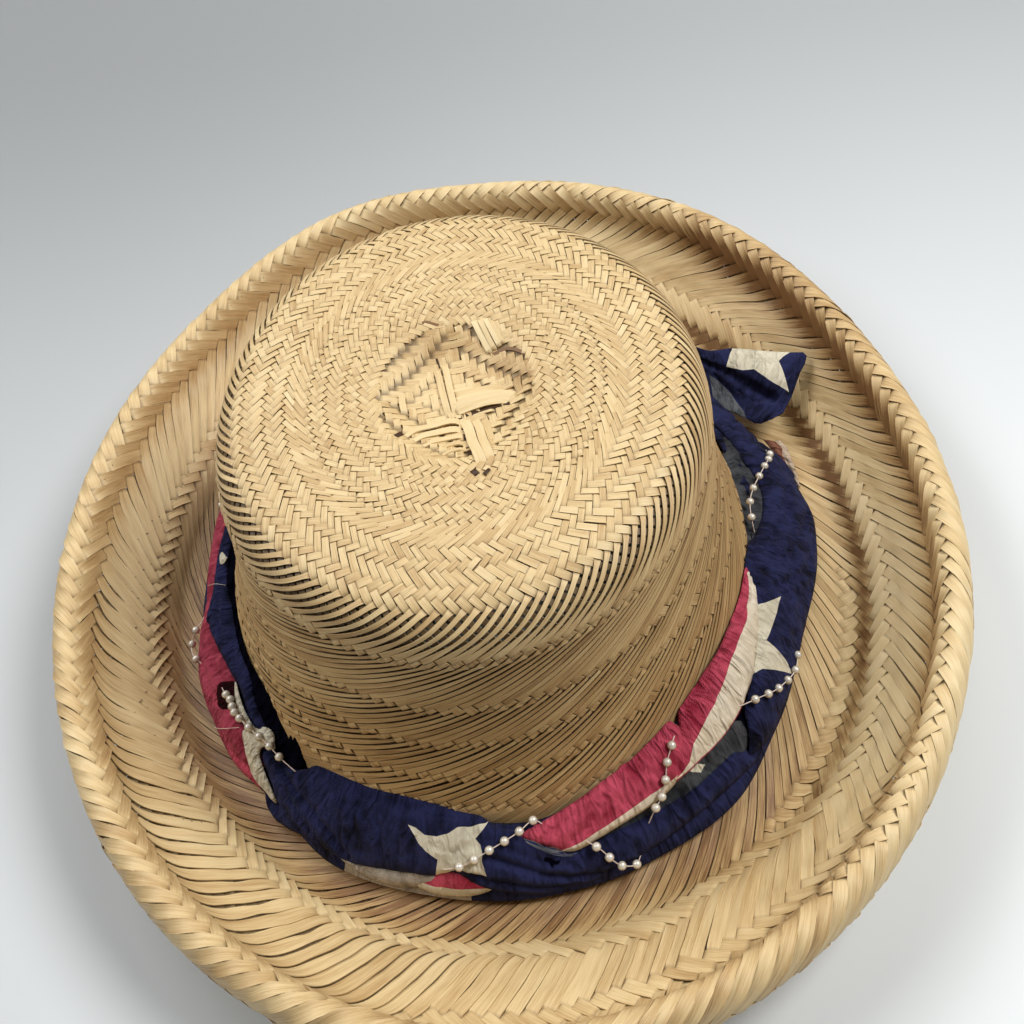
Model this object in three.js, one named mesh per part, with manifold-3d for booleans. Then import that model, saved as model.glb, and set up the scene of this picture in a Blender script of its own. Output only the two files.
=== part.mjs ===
// A splint-woven straw hat: a tapered crown with a sunken top, a dished brim and a rolled rim, dressed with
// a twisted cloth band and a string of small beads. Millimetres, +Z up, the hat resting on z = 0.
// The long way of the oval runs along Y, and the origin is under the middle of the brim.
import * as THREE from 'three';
import { mergeVertices } from 'three/addons/utils/BufferGeometryUtils.js';
import Module from 'manifold-3d';

// Woven straw: two crossing layers of flat splints
const wall = 2;
const aroundSteps = 64;
const gap = 0.4;

// The crown is oval for a head, the brim a little more so, and the crown sits slightly off the brim's middle
const crownOval = { half: 5.9, fullFrom: 80 };
const brimOval = { half: 11.8, from: 105, to: 148 };
const crownShift = { x: -4.6, y: -2.5 };

// The rim rises and dips a little round the hat
const rimSway = { from: 118, to: 147 };
const swayRows = [
  { angle: -20, lift: 0 }, { angle: 16, lift: -4 }, { angle: 50, lift: 0.8 }, { angle: 84, lift: 0 },
  { angle: 111, lift: 4 }, { angle: 140, lift: -1 }, { angle: 170, lift: 0 },
];

// The crest stands further out on one side, where the valley inside it is wider
const crestPush = { from: 112, full: 119, until: 126, to: 146.4 };
const pushRows = [
  { angle: -160, push: 0 }, { angle: -76, push: 0 }, { angle: -45, push: 7.6 }, { angle: 20, push: 7.6 },
  { angle: 48, push: 5.5 }, { angle: 100, push: 3 }, { angle: 155, push: 1.5 },
];

// The hat's outer face, from the middle of the crown to the loose edge of the rolled rim
const hatRows = [
  { place: 'dimple centre', radius: 0, height: 92.5 },
  { place: 'dimple floor', radius: 15, height: 93 },
  { place: 'dimple lip', radius: 25, height: 97 },
  { place: 'top', radius: 42, height: 98.5 },
  { place: 'top edge', radius: 60, height: 98.2 },
  { place: 'shoulder start', radius: 69, height: 96.8 },
  { place: 'shoulder', radius: 75, height: 93.2 },
  { place: 'shoulder end', radius: 78, height: 87.5 },
  { place: 'upper side', radius: 79.4, height: 76 },
  { place: 'middle side', radius: 82, height: 58 },
  { place: 'lower side', radius: 85.8, height: 41 },
  { place: 'band height', radius: 91.5, height: 24 },
  { place: 'crown foot', radius: 96.4, height: 11 },
  { place: 'foot bend', radius: 99.4, height: 5 },
  { place: 'rest ring start', radius: 103.6, height: 2 },
  { place: 'rest ring end', radius: 114, height: 2 },
  { place: 'valley', radius: 118.6, height: 3.4 },
  { place: 'crest foot', radius: 122, height: 7 },
  { place: 'crest', radius: 125.6, height: 11.4 },
  { place: 'wide zone', radius: 135, height: 17.4 },
  { place: 'crease', radius: 146.4, height: 26 },
  { place: 'rim inside', radius: 147.2, height: 31.4 },
  { place: 'rim rise', radius: 149, height: 36 },
  { place: 'rim top', radius: 152.8, height: 38.2 },
  { place: 'rim shoulder', radius: 156.8, height: 36.4 },
  { place: 'rim outside', radius: 158.7, height: 32 },
  { place: 'rim fall', radius: 158.2, height: 25 },
  { place: 'rim tuck', radius: 155.4, height: 20 },
  { place: 'rim edge', radius: 151.6, height: 18 },
];

// The twisted band, by angle round the crown from +X, with its upper edge and its outer edge
const bandRows = [
  { angle: -180, top: 19, outer: 108.5 },
  { angle: -164, top: 18, outer: 110.5 },
  { angle: -150, top: 22, outer: 110.2 },
  { angle: -137, top: 17.5, outer: 107 },
  { angle: -122, top: 22.5, outer: 111 },
  { angle: -104, top: 24, outer: 109.8 },
  { angle: -86, top: 20.5, outer: 110.5 },
  { angle: -70, top: 25, outer: 111.5 },
  { angle: -52, top: 28, outer: 113.8 },
  { angle: -38, top: 32, outer: 111.5 },
  { angle: -22, top: 25, outer: 110.5 },
  { angle: -4, top: 22.5, outer: 114.5 },
  { angle: 9, top: 22, outer: 115.5 },
  { angle: 23, top: 22, outer: 110.5 },
  { angle: 46, top: 20, outer: 107 },
  { angle: 70, top: 22, outer: 110 },
  { angle: 96, top: 25, outer: 111 },
  { angle: 122, top: 20, outer: 109 },
  { angle: 150, top: 24, outer: 111 },
];
const band = {
  topThickness: 2.8, topRise: 0.4, bulge: 1.6, faceShares: [0, 0.34, 0.7, 1],
  edgeHeight: 7.4, edgeInset: 0.6, lipHeight: 4.2, toeInset: 2.4,
};

// The knot behind the crown, where the band's two ends are tied
const knot = { angle: 47, radius: 107.6, height: 13.5, length: 13, depth: 8, rise: 9, cutGap: 0.4 };

// The star tail: lines of cloth from the knot outwards, each point [angle, radius, height]
const starTail = {
  thickness: 1.4,
  rows: [
    { part: 'upper', points: [[42, 113.8, 18.6], [37.2, 115.1, 22], [30.2, 125.4, 24], [24.3, 139.1, 24.5]] },
    { part: 'middle', points: [[41, 112.4, 16.8], [34.6, 113.5, 18], [27.2, 120, 20], [22.1, 133, 21.5]] },
    { part: 'crease', points: [[40, 111, 15.2], [32.8, 110.9, 14.5], [25.9, 115, 13.5], [20.1, 125.7, 17.5]] },
    { part: 'lower', points: [[39.3, 109.4, 14.2], [29.3, 106.4, 13.6], [24, 109.8, 13.5], [19.1, 114.8, 14.5]] },
  ],
};

// The plain tail: a short strip that lies on the brim beside the band
const plainTail = {
  thickness: 1.2,
  rows: [
    { part: 'band side', points: [[19, 113.8, 7.4], [16, 114.8, 6.2], [12.5, 116.2, 4.6], [8.8, 117.4, 3.1]] },
    { part: 'brim side', points: [[16.5, 120, 8], [13.5, 119.3, 6.6], [10.6, 118.8, 4.8], [8.3, 118.6, 3.1]] },
  ],
};

// The bead string, by angle round the crown, the share of the way across the band's face from its upper
// edge, and its height over that face, negative where it runs inside the folds
const beadString = {
  diameter: 2.6, sides: 8, steps: 100, clearance: 0.35,
  rows: [
    { angle: 56, across: 0.45, over: 1.6 }, { angle: 63, across: 0.7, over: 1.75 },
    { angle: 72, across: 0.88, over: 0.4 }, { angle: 82, across: 0.6, over: -2.6 },
    { angle: 92, across: 0.22, over: -0.8 }, { angle: 101, across: 0.35, over: 1.75 },
    { angle: 111, across: 0.75, over: 1.75 }, { angle: 120, across: 0.88, over: 0.2 },
    { angle: 131, across: 0.55, over: -2.6 }, { angle: 142, across: 0.2, over: -0.8 },
    { angle: 151, across: 0.35, over: 1.75 }, { angle: 161, across: 0.62, over: 1 },
    { angle: 171, across: 0.62, over: -1.6 }, { angle: 180, across: 0.66, over: 0.4 },
    { angle: 187, across: 0.95, over: 1.75 }, { angle: 192.6, across: 0.84, over: 1.75 },
    { angle: 199, across: 0.46, over: -0.4 }, { angle: 205.8, across: 0.24, over: 1.75 },
    { angle: 213, across: 0.15, over: 1.75 }, { angle: 219.5, across: 0.02, over: 1.7 },
    { angle: 225, across: 0.04, over: -0.2 }, { angle: 234, across: 0.26, over: -2.6 },
    { angle: 245, across: 0.55, over: -2.8 }, { angle: 254, across: 0.66, over: -1.2 },
    { angle: 260, across: 0.52, over: 1.75 }, { angle: 266.3, across: 0.2, over: 1.75 },
    { angle: 271.5, across: 0.01, over: 1.7 }, { angle: 276, across: 0.12, over: -0.6 },
    { angle: 280, across: 0.26, over: -0.8 }, { angle: 283.2, across: 0.54, over: 1.7 },
    { angle: 287, across: 0.94, over: 1.6 }, { angle: 290, across: 0.92, over: -0.6 },
    { angle: 293, across: 0.58, over: -0.4 }, { angle: 296, across: 0.38, over: 1.7 },
    { angle: 301.5, across: 0.1, over: 1.75 }, { angle: 305.5, across: 0.02, over: 1 },
    { angle: 311, across: 0.16, over: -2 }, { angle: 316, across: 0.36, over: -0.4 },
    { angle: 320.2, across: 0.51, over: 1.75 }, { angle: 326.5, across: 0.78, over: 1.75 },
    { angle: 331.5, across: 0.94, over: 1.75 }, { angle: 336, across: 0.93, over: 0.6 },
    { angle: 342, across: 0.74, over: -2.2 }, { angle: 350, across: 0.28, over: -2 },
    { angle: 356, across: 0, over: 0.8 }, { angle: 361.5, across: 0.02, over: 1.75 },
    { angle: 366.2, across: 0.22, over: 1.75 }, { angle: 371, across: 0.56, over: 1.75 },
    { angle: 376, across: 0.84, over: 1 }, { angle: 383, across: 0.78, over: -2 },
    { angle: 391, across: 0.5, over: -1 }, { angle: 397, across: 0.42, over: 1.4 },
  ],
};

// Colours as seen on the object
const looks = {
  straw: { color: 0xd2ad72, roughness: 0.62, metalness: 0 },
  navyCloth: { color: 0x23265c, roughness: 0.85, metalness: 0 },
  paleCloth: { color: 0xd9b8a4, roughness: 0.85, metalness: 0 },
  pearl: { color: 0xf0eadf, roughness: 0.25, metalness: 0 },
};

const radians = THREE.MathUtils.degToRad;

// The rows on either side of an angle, and the smooth share of the way between them
function between(rows, angle) {
  const degrees = THREE.MathUtils.euclideanModulo(THREE.MathUtils.radToDeg(angle) + 180, 360) - 180;
  const last = rows.length - 1;
  const found = rows.findLastIndex((row) => row.angle <= degrees);
  const from = rows[found < 0 ? last : found];
  const to = rows[(rows.indexOf(from) + 1) % rows.length];
  const span = THREE.MathUtils.euclideanModulo(to.angle - from.angle, 360);
  const past = THREE.MathUtils.euclideanModulo(degrees - from.angle, 360);
  return { from, to, share: THREE.MathUtils.smoothstep(past / span, 0, 1) };
}

// How far the rim is lifted at an angle and radius
function swayAt(angle, radius) {
  const { from, to, share } = between(swayRows, angle);
  const full = THREE.MathUtils.lerp(from.lift, to.lift, share);
  return full * THREE.MathUtils.smoothstep(radius, rimSway.from, rimSway.to);
}

// How far a ring of the brim is pushed out at an angle
function pushAt(angle, radius) {
  const { from, to, share } = between(pushRows, angle);
  const full = THREE.MathUtils.lerp(from.push, to.push, share);
  const rise = THREE.MathUtils.smoothstep(radius, crestPush.from, crestPush.full);
  const fall = THREE.MathUtils.smoothstep(radius, crestPush.until, crestPush.to);
  return full * (rise - fall);
}

// A point of the hat: the radius is the mean of the oval's two half widths there
function onHat(angle, radius, height) {
  const outward = THREE.MathUtils.smoothstep(radius, brimOval.from, brimOval.to);
  const crownPart = crownOval.half * Math.min(1, radius / crownOval.fullFrom);
  const oval = crownPart + (brimOval.half - crownOval.half) * outward;
  return new THREE.Vector3(
    crownShift.x * (1 - outward) + (radius - oval) * Math.cos(angle),
    crownShift.y * (1 - outward) + (radius + oval) * Math.sin(angle),
    height + swayAt(angle, radius),
  );
}

// A line of points moved sideways by a distance, mitred at each bend
function offsetLine(points, distance) {
  const normals = points.slice(1).map((point, i) => {
    const along = point.clone().sub(points[i]).normalize();
    return new THREE.Vector2(along.y, -along.x);
  });
  return points.map((point, i) => {
    const before = normals[Math.max(i - 1, 0)];
    const after = normals[Math.min(i, normals.length - 1)];
    const mitre = before.clone().add(after).normalize();
    return point.clone().addScaledVector(mitre, distance / mitre.dot(before));
  });
}

// A closed outline swept round the hat: outlineAt(angle) gives the same number of points at each step
function sweepRound(outlineAt, steps, closesOnItself) {
  const first = outlineAt(0);
  const outline = closesOnItself ? [...first, first[0]] : first;
  const geometry = new THREE.LatheGeometry(outline, steps);
  const place = geometry.attributes.position;
  for (let step = 0; step <= steps; step += 1) {
    const angle = 2 * Math.PI * (step % steps) / steps;
    const rows = outlineAt(angle);
    outline.forEach((unused, i) => {
      const row = rows[i % rows.length];
      const point = onHat(angle, row.x, row.y);
      place.setXYZ(step * outline.length + i, point.x, point.y, point.z);
    });
  }
  return closed(geometry);
}

// Only positions, with shared corners merged
function closed(geometry) {
  const bare = geometry.clone();
  bare.deleteAttribute('normal');
  bare.deleteAttribute('uv');
  const merged = mergeVertices(bare, 1e-3);
  const index = merged.index.array;
  const kept = [];
  for (let i = 0; i < index.length; i += 3) {
    const [a, b, c] = [index[i], index[i + 1], index[i + 2]];
    if (a !== b && b !== c && c !== a) kept.push(a, b, c);
  }
  merged.setIndex(kept);
  return facingOut(merged);
}

// Faces turned so that the body's volume is positive
function facingOut(geometry) {
  const place = geometry.attributes.position;
  const index = geometry.index.array;
  const [a, b, c] = [new THREE.Vector3(), new THREE.Vector3(), new THREE.Vector3()];
  let volume = 0;
  for (let i = 0; i < index.length; i += 3) {
    a.fromBufferAttribute(place, index[i]);
    b.fromBufferAttribute(place, index[i + 1]);
    c.fromBufferAttribute(place, index[i + 2]);
    volume += a.dot(b.cross(c));
  }
  if (volume < 0) {
    for (let i = 0; i < index.length; i += 3) {
      [index[i + 1], index[i + 2]] = [index[i + 2], index[i + 1]];
    }
  }
  geometry.computeVertexNormals();
  return geometry;
}

const outerFace = hatRows.map((row) => new THREE.Vector2(row.radius, row.height));

// The hat's section at an angle, with its crest where it stands there
function wovenSection(angle) {
  const outer = outerFace.map((point) => new THREE.Vector2(point.x + pushAt(angle, point.x), point.y));
  const inner = offsetLine(outer, wall);
  inner[0].x = 0;
  return [...outer, ...inner.reverse()];
}

// The line that the cloth keeps to, a small gap outside the hat's outer face
const seat = offsetLine(outerFace, -gap);
const rowOf = (place) => hatRows.findIndex((row) => row.place === place);

// The point of the seat line at a height on the crown's side
function onCrownSide(height) {
  const next = seat.findIndex((point, i) => i > rowOf('shoulder end') && point.y <= height);
  const [above, below] = [seat[next - 1], seat[next]];
  return above.clone().lerp(below, (above.y - height) / (above.y - below.y));
}

// The heights of the band's upper edge and the radius of its outer edge at an angle
function bandAt(angle) {
  const { from, to, share } = between(bandRows, angle);
  return {
    top: THREE.MathUtils.lerp(from.top, to.top, share),
    outer: THREE.MathUtils.lerp(from.outer, to.outer, share),
  };
}

// The band's face from its upper edge down to its outer edge, as points of a section
function bandFace(angle) {
  const { top, outer } = bandAt(angle);
  const from = onCrownSide(top).add(new THREE.Vector2(band.topThickness, band.topRise));
  const to = new THREE.Vector2(outer - band.edgeInset, band.edgeHeight);
  const out = new THREE.Vector2(from.y - to.y, to.x - from.x).normalize();
  return band.faceShares.map((share) => (
    from.clone().lerp(to, share).addScaledVector(out, band.bulge * Math.sin(Math.PI * share))
  ));
}

// The band's whole section: down the crown's side and foot, along the brim, and back over its face
function bandSection(angle) {
  const { top, outer } = bandAt(angle);
  const footHeight = seat[rowOf('crown foot')].y;
  const back = [top, (top + footHeight) / 2].map(onCrownSide);
  const foot = ['crown foot', 'foot bend', 'rest ring start'].map((place) => seat[rowOf(place)]);
  const toe = new THREE.Vector2(outer - band.toeInset, seat[rowOf('rest ring start')].y);
  const lip = new THREE.Vector2(outer, band.lipHeight);
  return [...back, ...foot, toe, lip, ...bandFace(angle).reverse()];
}

// A sheet of cloth: rows of points [angle in degrees, radius, height], given a thickness
function sheetBody({ rows, thickness }, around = 6, across = 6) {
  const lines = rows.map(({ points }) => new THREE.CatmullRomCurve3(
    points.map(([degrees, radius, height]) => onHat(radians(degrees), radius, height)),
  ));
  const pointAt = (u, v) => new THREE.CatmullRomCurve3(lines.map((line) => line.getPoint(u))).getPoint(v);
  const step = 0.01;
  const inside = (value) => THREE.MathUtils.clamp(value, step, 1 - step);
  const geometry = new THREE.BoxGeometry(1, 1, 1, around, across, 1);
  const place = geometry.attributes.position;
  for (let i = 0; i < place.count; i += 1) {
    const [u, v] = [place.getX(i) + 0.5, place.getY(i) + 0.5];
    const alongU = pointAt(inside(u) + step, v).sub(pointAt(inside(u) - step, v));
    const alongV = pointAt(u, inside(v) + step).sub(pointAt(u, inside(v) - step));
    const normal = alongU.cross(alongV).normalize();
    const point = pointAt(u, v).addScaledVector(normal, place.getZ(i) * thickness);
    place.setXYZ(i, point.x, point.y, point.z);
  }
  return closed(geometry);
}

// The knot: an egg of cloth, flattened against the band
function knotBody(extra) {
  const geometry = new THREE.SphereGeometry(1, 16, 10);
  geometry.scale(knot.depth + extra, knot.length + extra, knot.rise + extra);
  geometry.rotateZ(radians(knot.angle));
  const at = onHat(radians(knot.angle), knot.radius, knot.height);
  geometry.translate(at.x, at.y, at.z);
  return closed(geometry);
}

// The bead string's route over and through the band's folds
function beadRoute() {
  const points = beadString.rows.map(({ angle, across, over }) => {
    const face = bandFace(radians(angle));
    const line = new THREE.SplineCurve(face);
    const at = line.getPoint(across);
    const along = line.getTangent(across);
    const lifted = at.add(new THREE.Vector2(-along.y, along.x).multiplyScalar(over));
    return onHat(radians(angle), lifted.x, lifted.y);
  });
  return new THREE.CatmullRomCurve3(points, false, 'centripetal');
}

function stringBody(radius, steps) {
  const section = new THREE.Shape(
    new THREE.Path().absarc(0, 0, radius, 0, 2 * Math.PI).getPoints(beadString.sides / 2).slice(0, -1),
  );
  return closed(new THREE.ExtrudeGeometry(section, { steps, extrudePath: beadRoute() }));
}

const wasm = await Module();
wasm.setup();

function toSolid(geometry) {
  return new wasm.Manifold(new wasm.Mesh({
    numProp: 3,
    vertProperties: geometry.attributes.position.array,
    triVerts: new Uint32Array(geometry.index.array),
  }));
}

function fromSolid(solid) {
  const mesh = solid.getMesh();
  const geometry = new THREE.BufferGeometry();
  geometry.setAttribute('position', new THREE.BufferAttribute(mesh.vertProperties, 3));
  geometry.setIndex(new THREE.BufferAttribute(mesh.triVerts, 1));
  geometry.computeVertexNormals();
  return geometry;
}

const hat = new THREE.Group();

function addPiece(name, geometry, look) {
  const piece = new THREE.Mesh(geometry, new THREE.MeshStandardMaterial(look));
  piece.name = name;
  hat.add(piece);
}

// The band leaves room for the knot and for the string that runs through its folds
const bandBody = toSolid(sweepRound(bandSection, aroundSteps, true));
const stringRoom = toSolid(stringBody(beadString.diameter / 2 + beadString.clearance, beadString.steps));
const bandCut = bandBody.subtract(toSolid(knotBody(knot.cutGap))).subtract(stringRoom);

addPiece('woven_body', sweepRound(wovenSection, aroundSteps, false), looks.straw);
addPiece('cloth_band', fromSolid(bandCut), looks.navyCloth);
addPiece('band_knot', knotBody(0), looks.navyCloth);
addPiece('star_tail', sheetBody(starTail), looks.navyCloth);
addPiece('plain_tail', sheetBody(plainTail, 6, 3), looks.paleCloth);
addPiece('bead_string', stringBody(beadString.diameter / 2, beadString.steps), looks.pearl);

export default hat;
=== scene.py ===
# A splint-woven straw hat with a twisted cloth band and a string of small pearls.
# Shapes are worked out in millimetres, as in the CAD, and turned into metres when a mesh is made.
import math
import bpy
import numpy as np
from mathutils import Matrix, Vector
from mathutils.geometry import delaunay_2d_cdt


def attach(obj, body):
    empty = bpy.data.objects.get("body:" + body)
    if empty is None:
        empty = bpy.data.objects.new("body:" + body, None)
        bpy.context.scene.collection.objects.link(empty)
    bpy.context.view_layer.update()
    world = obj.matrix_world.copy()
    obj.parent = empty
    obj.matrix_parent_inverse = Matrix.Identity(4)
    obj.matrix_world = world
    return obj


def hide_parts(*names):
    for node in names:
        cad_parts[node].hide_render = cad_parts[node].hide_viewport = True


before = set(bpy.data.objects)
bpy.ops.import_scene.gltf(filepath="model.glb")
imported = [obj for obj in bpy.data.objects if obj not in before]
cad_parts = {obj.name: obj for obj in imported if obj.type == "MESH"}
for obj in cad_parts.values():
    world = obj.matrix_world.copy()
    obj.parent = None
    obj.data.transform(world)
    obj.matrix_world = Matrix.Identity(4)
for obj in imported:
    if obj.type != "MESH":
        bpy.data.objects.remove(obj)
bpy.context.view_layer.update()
print("frame loaded")

# Camera, light and floor
studio = {
    "cameraAt": (0.01788, -0.23473, 0.33820),
    "cameraRight": (0.990899, -0.083898, -0.105267),
    "cameraUp": (0.130550, 0.789602, 0.599571),
    "cameraBack": (0.0328, -0.6079, 0.7934),
    "lens": 41.29, "sensor": 36,
    "floorSize": 6.0, "floorColor": (0.50, 0.52, 0.53), "floorClouds": 1.03, "floorRoughness": 0.75,
    # painted light and shade on the floor: how much lighter it gets from the back of the view to its front,
    # and from left to right
    "floorLightDepth": (-0.15, 0.38, 1.72, 0.82), "floorLightWidth": (-0.25, 0.25, 0.70, 0.94),
    "worldColor": (0.92, 0.95, 1.0), "worldStrength": 0.06,
    "lightAim": (0, 0, 0.04), "lightSize": 0.6,
    # name, place, power, colour
    "lights": [
        ("rightLight", (0.75, 0.05, 1.1), 13.9, (1, 0.99, 0.97)),
        ("leftBackLight", (-0.6, 0.7, 1.0), 4.9, (0.97, 0.98, 1)),
        ("leftLight", (-0.8, 0.1, 1.0), 5.8, (1, 0.99, 0.97)),
        ("backLight", (0.1, 0.8, 1.0), 2.6, (1, 0.99, 0.97)),
    ],
}

# The hat's outer face from the middle of the crown to the loose edge of the rim: radius, height
hatRows = [
    (0, 92.5), (15, 93), (25, 97), (42, 98.5), (60, 98.2), (69, 96.8), (75, 93.2), (78, 87.5), (79.4, 76),
    (82, 58), (85.8, 41), (91.5, 24), (96.4, 11), (99.4, 5), (103.6, 2.3), (106, 2.2), (111.5, 2.2),
    (114, 2.2), (118.6, 3.5), (122, 7), (125.6, 11.4), (135, 17.4), (146.4, 26), (147.2, 31.4), (149, 36),
    (152.8, 38.2), (156.8, 36.4), (158.7, 32), (158.2, 25), (155.4, 20), (151.6, 18),
]
hatShape = {
    "crownOval": 5.9, "crownFull": 80, "brimOval": 11.8, "brimFrom": 105, "brimTo": 148,
    "shiftX": -4.6, "shiftY": -2.5, "swayFrom": 118, "swayTo": 147,
    "pushFrom": 112, "pushFull": 119, "pushUntil": 126, "pushTo": 146.4,
    # angle, lift of the rim
    "sway": [(-20, 0), (16, -4), (50, 0.8), (84, 0), (111, 4), (140, -1), (170, 0)],
    # angle, how far the crest stands out
    "push": [(-160, 0), (-76, 0), (-45, 7.6), (20, 7.6), (48, 5.5), (100, 3), (155, 1.5)],
    # a dent in the crown's side: angle, reach, depth; the lengths where it starts, is full, and ends
    "dent": (201, 12, 1.3), "dentFrom": 116, "dentFull": 146, "dentUntil": 166, "dentTo": 173,
    "fineStep": 0.1, "slopeStep": 0.3,
    # lengths where the crown's flat top ends, and between which its side stands
    "topEnd": 70, "side": (83, 170),
}


def eased(x, start, end):
    t = np.clip((np.asarray(x, float) - start) / (end - start), 0, 1)
    return t * t * (3 - 2 * t)


def easedBetween(x, rise, fall):
    return eased(x, *rise) * (1 - eased(x, *fall))


def awayFrom(degrees, angle):
    return (degrees - angle + 180) % 360 - 180


# The value at an angle in degrees, eased between the rows beside it and joined up round the hat
def roundValue(rows, degrees):
    angles = np.array([row[0] for row in rows] + [rows[0][0] + 360], float)
    values = np.array([row[1] for row in rows] + [rows[0][1]], float)
    wrapped = (np.asarray(degrees, float) - angles[0]) % 360 + angles[0]
    k = np.clip(np.searchsorted(angles, wrapped, side="right") - 1, 0, len(rows) - 1)
    share = eased((wrapped - angles[k]) / (angles[k + 1] - angles[k]), 0, 1)
    return values[k] + (values[k + 1] - values[k]) * share


# Length from the first point to each point of a line, along the straight pieces between them
def lengthsAlong(points):
    return np.concatenate([[0], np.cumsum(np.linalg.norm(np.diff(points, axis=0), axis=1))])


def lineLength(points):
    return np.linalg.norm(np.diff(np.asarray(points, float), axis=0), axis=1).sum()


# A smooth line through rows of points, read at lengths along it
def smoothLine(points, at):
    points = np.asarray(points, float)
    length = lengthsAlong(points)
    slope = np.gradient(points, length, axis=0)
    at = np.clip(np.asarray(at, float), 0, length[-1])
    k = np.clip(np.searchsorted(length, at, side="right") - 1, 0, len(points) - 2)
    step = (length[k + 1] - length[k])[..., None]
    t = (at - length[k])[..., None] / step
    return (points[k] * (2 * t ** 3 - 3 * t ** 2 + 1) + points[k + 1] * (3 * t ** 2 - 2 * t ** 3)
            + slope[k] * step * (t ** 3 - 2 * t ** 2 + t) + slope[k + 1] * step * (t ** 3 - t ** 2))


lineEnd = lineLength(hatRows)
fineLine = np.arange(0, lineEnd + hatShape["fineStep"], hatShape["fineStep"])
finePoints = smoothLine(hatRows, fineLine)


# How far the brim's crest stands out
def pushAt(phi, radius):
    full = roundValue(hatShape["push"], np.degrees(phi))
    return full * (eased(radius, hatShape["pushFrom"], hatShape["pushFull"])
                   - eased(radius, hatShape["pushUntil"], hatShape["pushTo"]))


# A point of the hat from its angle, mean radius and height, as the CAD has it
def onHat(phi, radius, height):
    phi, radius, height = np.broadcast_arrays(phi, radius, height)
    outward = eased(radius, hatShape["brimFrom"], hatShape["brimTo"])
    oval = (hatShape["crownOval"] * np.minimum(1, radius / hatShape["crownFull"])
            + (hatShape["brimOval"] - hatShape["crownOval"]) * outward)
    lift = roundValue(hatShape["sway"], np.degrees(phi))
    lift = lift * eased(radius, hatShape["swayFrom"], hatShape["swayTo"])
    return np.stack([
        hatShape["shiftX"] * (1 - outward) + (radius - oval) * np.cos(phi),
        hatShape["shiftY"] * (1 - outward) + (radius + oval) * np.sin(phi),
        height + lift,
    ], axis=-1)


# How deep the crown's side is dented
def dentAt(phi, s):
    angle, reach, depth = hatShape["dent"]
    there = (eased(s, hatShape["dentFrom"], hatShape["dentFull"])
             - eased(s, hatShape["dentUntil"], hatShape["dentTo"]))
    return depth * np.exp(-(awayFrom(np.degrees(phi), angle) / reach) ** 2) * there


# Radius and height of the outer face, at an angle and a length along the line from the crown's middle
def section(phi, s):
    radius = np.interp(s, fineLine, finePoints[:, 0])
    height = np.interp(s, fineLine, finePoints[:, 1])
    return radius + pushAt(phi, radius) - dentAt(phi, s), height


# A point at a distance over the outer face
def overFace(phi, s, over):
    radius, height = section(phi, s)
    r1, z1 = section(phi, np.clip(s - hatShape["slopeStep"], 0, lineEnd))
    r2, z2 = section(phi, np.clip(s + hatShape["slopeStep"], 0, lineEnd))
    size = np.hypot(r2 - r1, z2 - z1)
    return onHat(phi, radius - (z2 - z1) / size * over, height + (r2 - r1) / size * over)


# A mesh of quads and triangles from plain arrays, with values on its points for the material to read
def makeMesh(name, points, faces, material, values=None, smooth=True, sharpCorners=0):
    mesh = bpy.data.meshes.new(name)
    points = np.asarray(points, float) / 1000
    mesh.vertices.add(len(points))
    mesh.vertices.foreach_set("co", points.astype(np.float32).ravel())
    sizes = np.concatenate([np.full(len(block), block.shape[1]) for block in faces])
    corners = np.concatenate([block.ravel() for block in faces])
    mesh.loops.add(len(corners))
    mesh.loops.foreach_set("vertex_index", corners.astype(np.int32))
    mesh.polygons.add(len(sizes))
    mesh.polygons.foreach_set("loop_start", np.concatenate([[0], np.cumsum(sizes)[:-1]]).astype(np.int32))
    mesh.polygons.foreach_set("use_smooth", np.full(len(sizes), smooth))
    mesh.update(calc_edges=True)
    for label, value in (values or {}).items():
        wide = value.ndim == 2
        layer = mesh.attributes.new(label, "FLOAT_VECTOR" if wide else "FLOAT", "POINT")
        layer.data.foreach_set("vector" if wide else "value", value.astype(np.float32).ravel())
    if sharpCorners:
        ends = np.empty(len(mesh.edges) * 2, np.int32)
        mesh.edges.foreach_get("vertices", ends)
        ends = ends.reshape(-1, 2) % sharpCorners
        sharp = mesh.attributes.new("sharp_edge", "BOOLEAN", "EDGE")
        sharp.data.foreach_set("value", ends[:, 0] == ends[:, 1])
    mesh.materials.append(material)
    mesh.validate()
    thing = bpy.data.objects.new(name, mesh)
    bpy.context.scene.collection.objects.link(thing)
    return thing


def standFor(piece, part):
    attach(piece, "root")
    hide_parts(part)


def unit(rows):
    return rows / np.maximum(np.linalg.norm(rows, axis=-1, keepdims=True), 1e-9)


straw = {
    # colours from the darkest grain to the lightest, and the dust and painted shade between the strips
    "grain": [(0.06, (0.22, 0.11, 0.04)), (0.24, (0.52, 0.34, 0.15)), (0.42, (0.72, 0.54, 0.28)),
              (0.68, (0.84, 0.69, 0.42))],
    "between": (0.07, 0.034, 0.012), "roughness": (0.42, 0.62), "shine": 0.45,
    "relief": 0.35, "reliefDepth": 0.0002,
    # streaks and patches of the grain, stretched along the strip, and their shares in its tone
    "streaks": (1.9, 0.07, 1), "streakShare": 0.45, "patches": (0.4, 0.03, 1), "patchShare": 0.35,
    # each strip takes its grain from a place of its own: how many places, and how far apart across and along
    "grainPlaces": 50, "grainShift": (7, 31),
}


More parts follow.
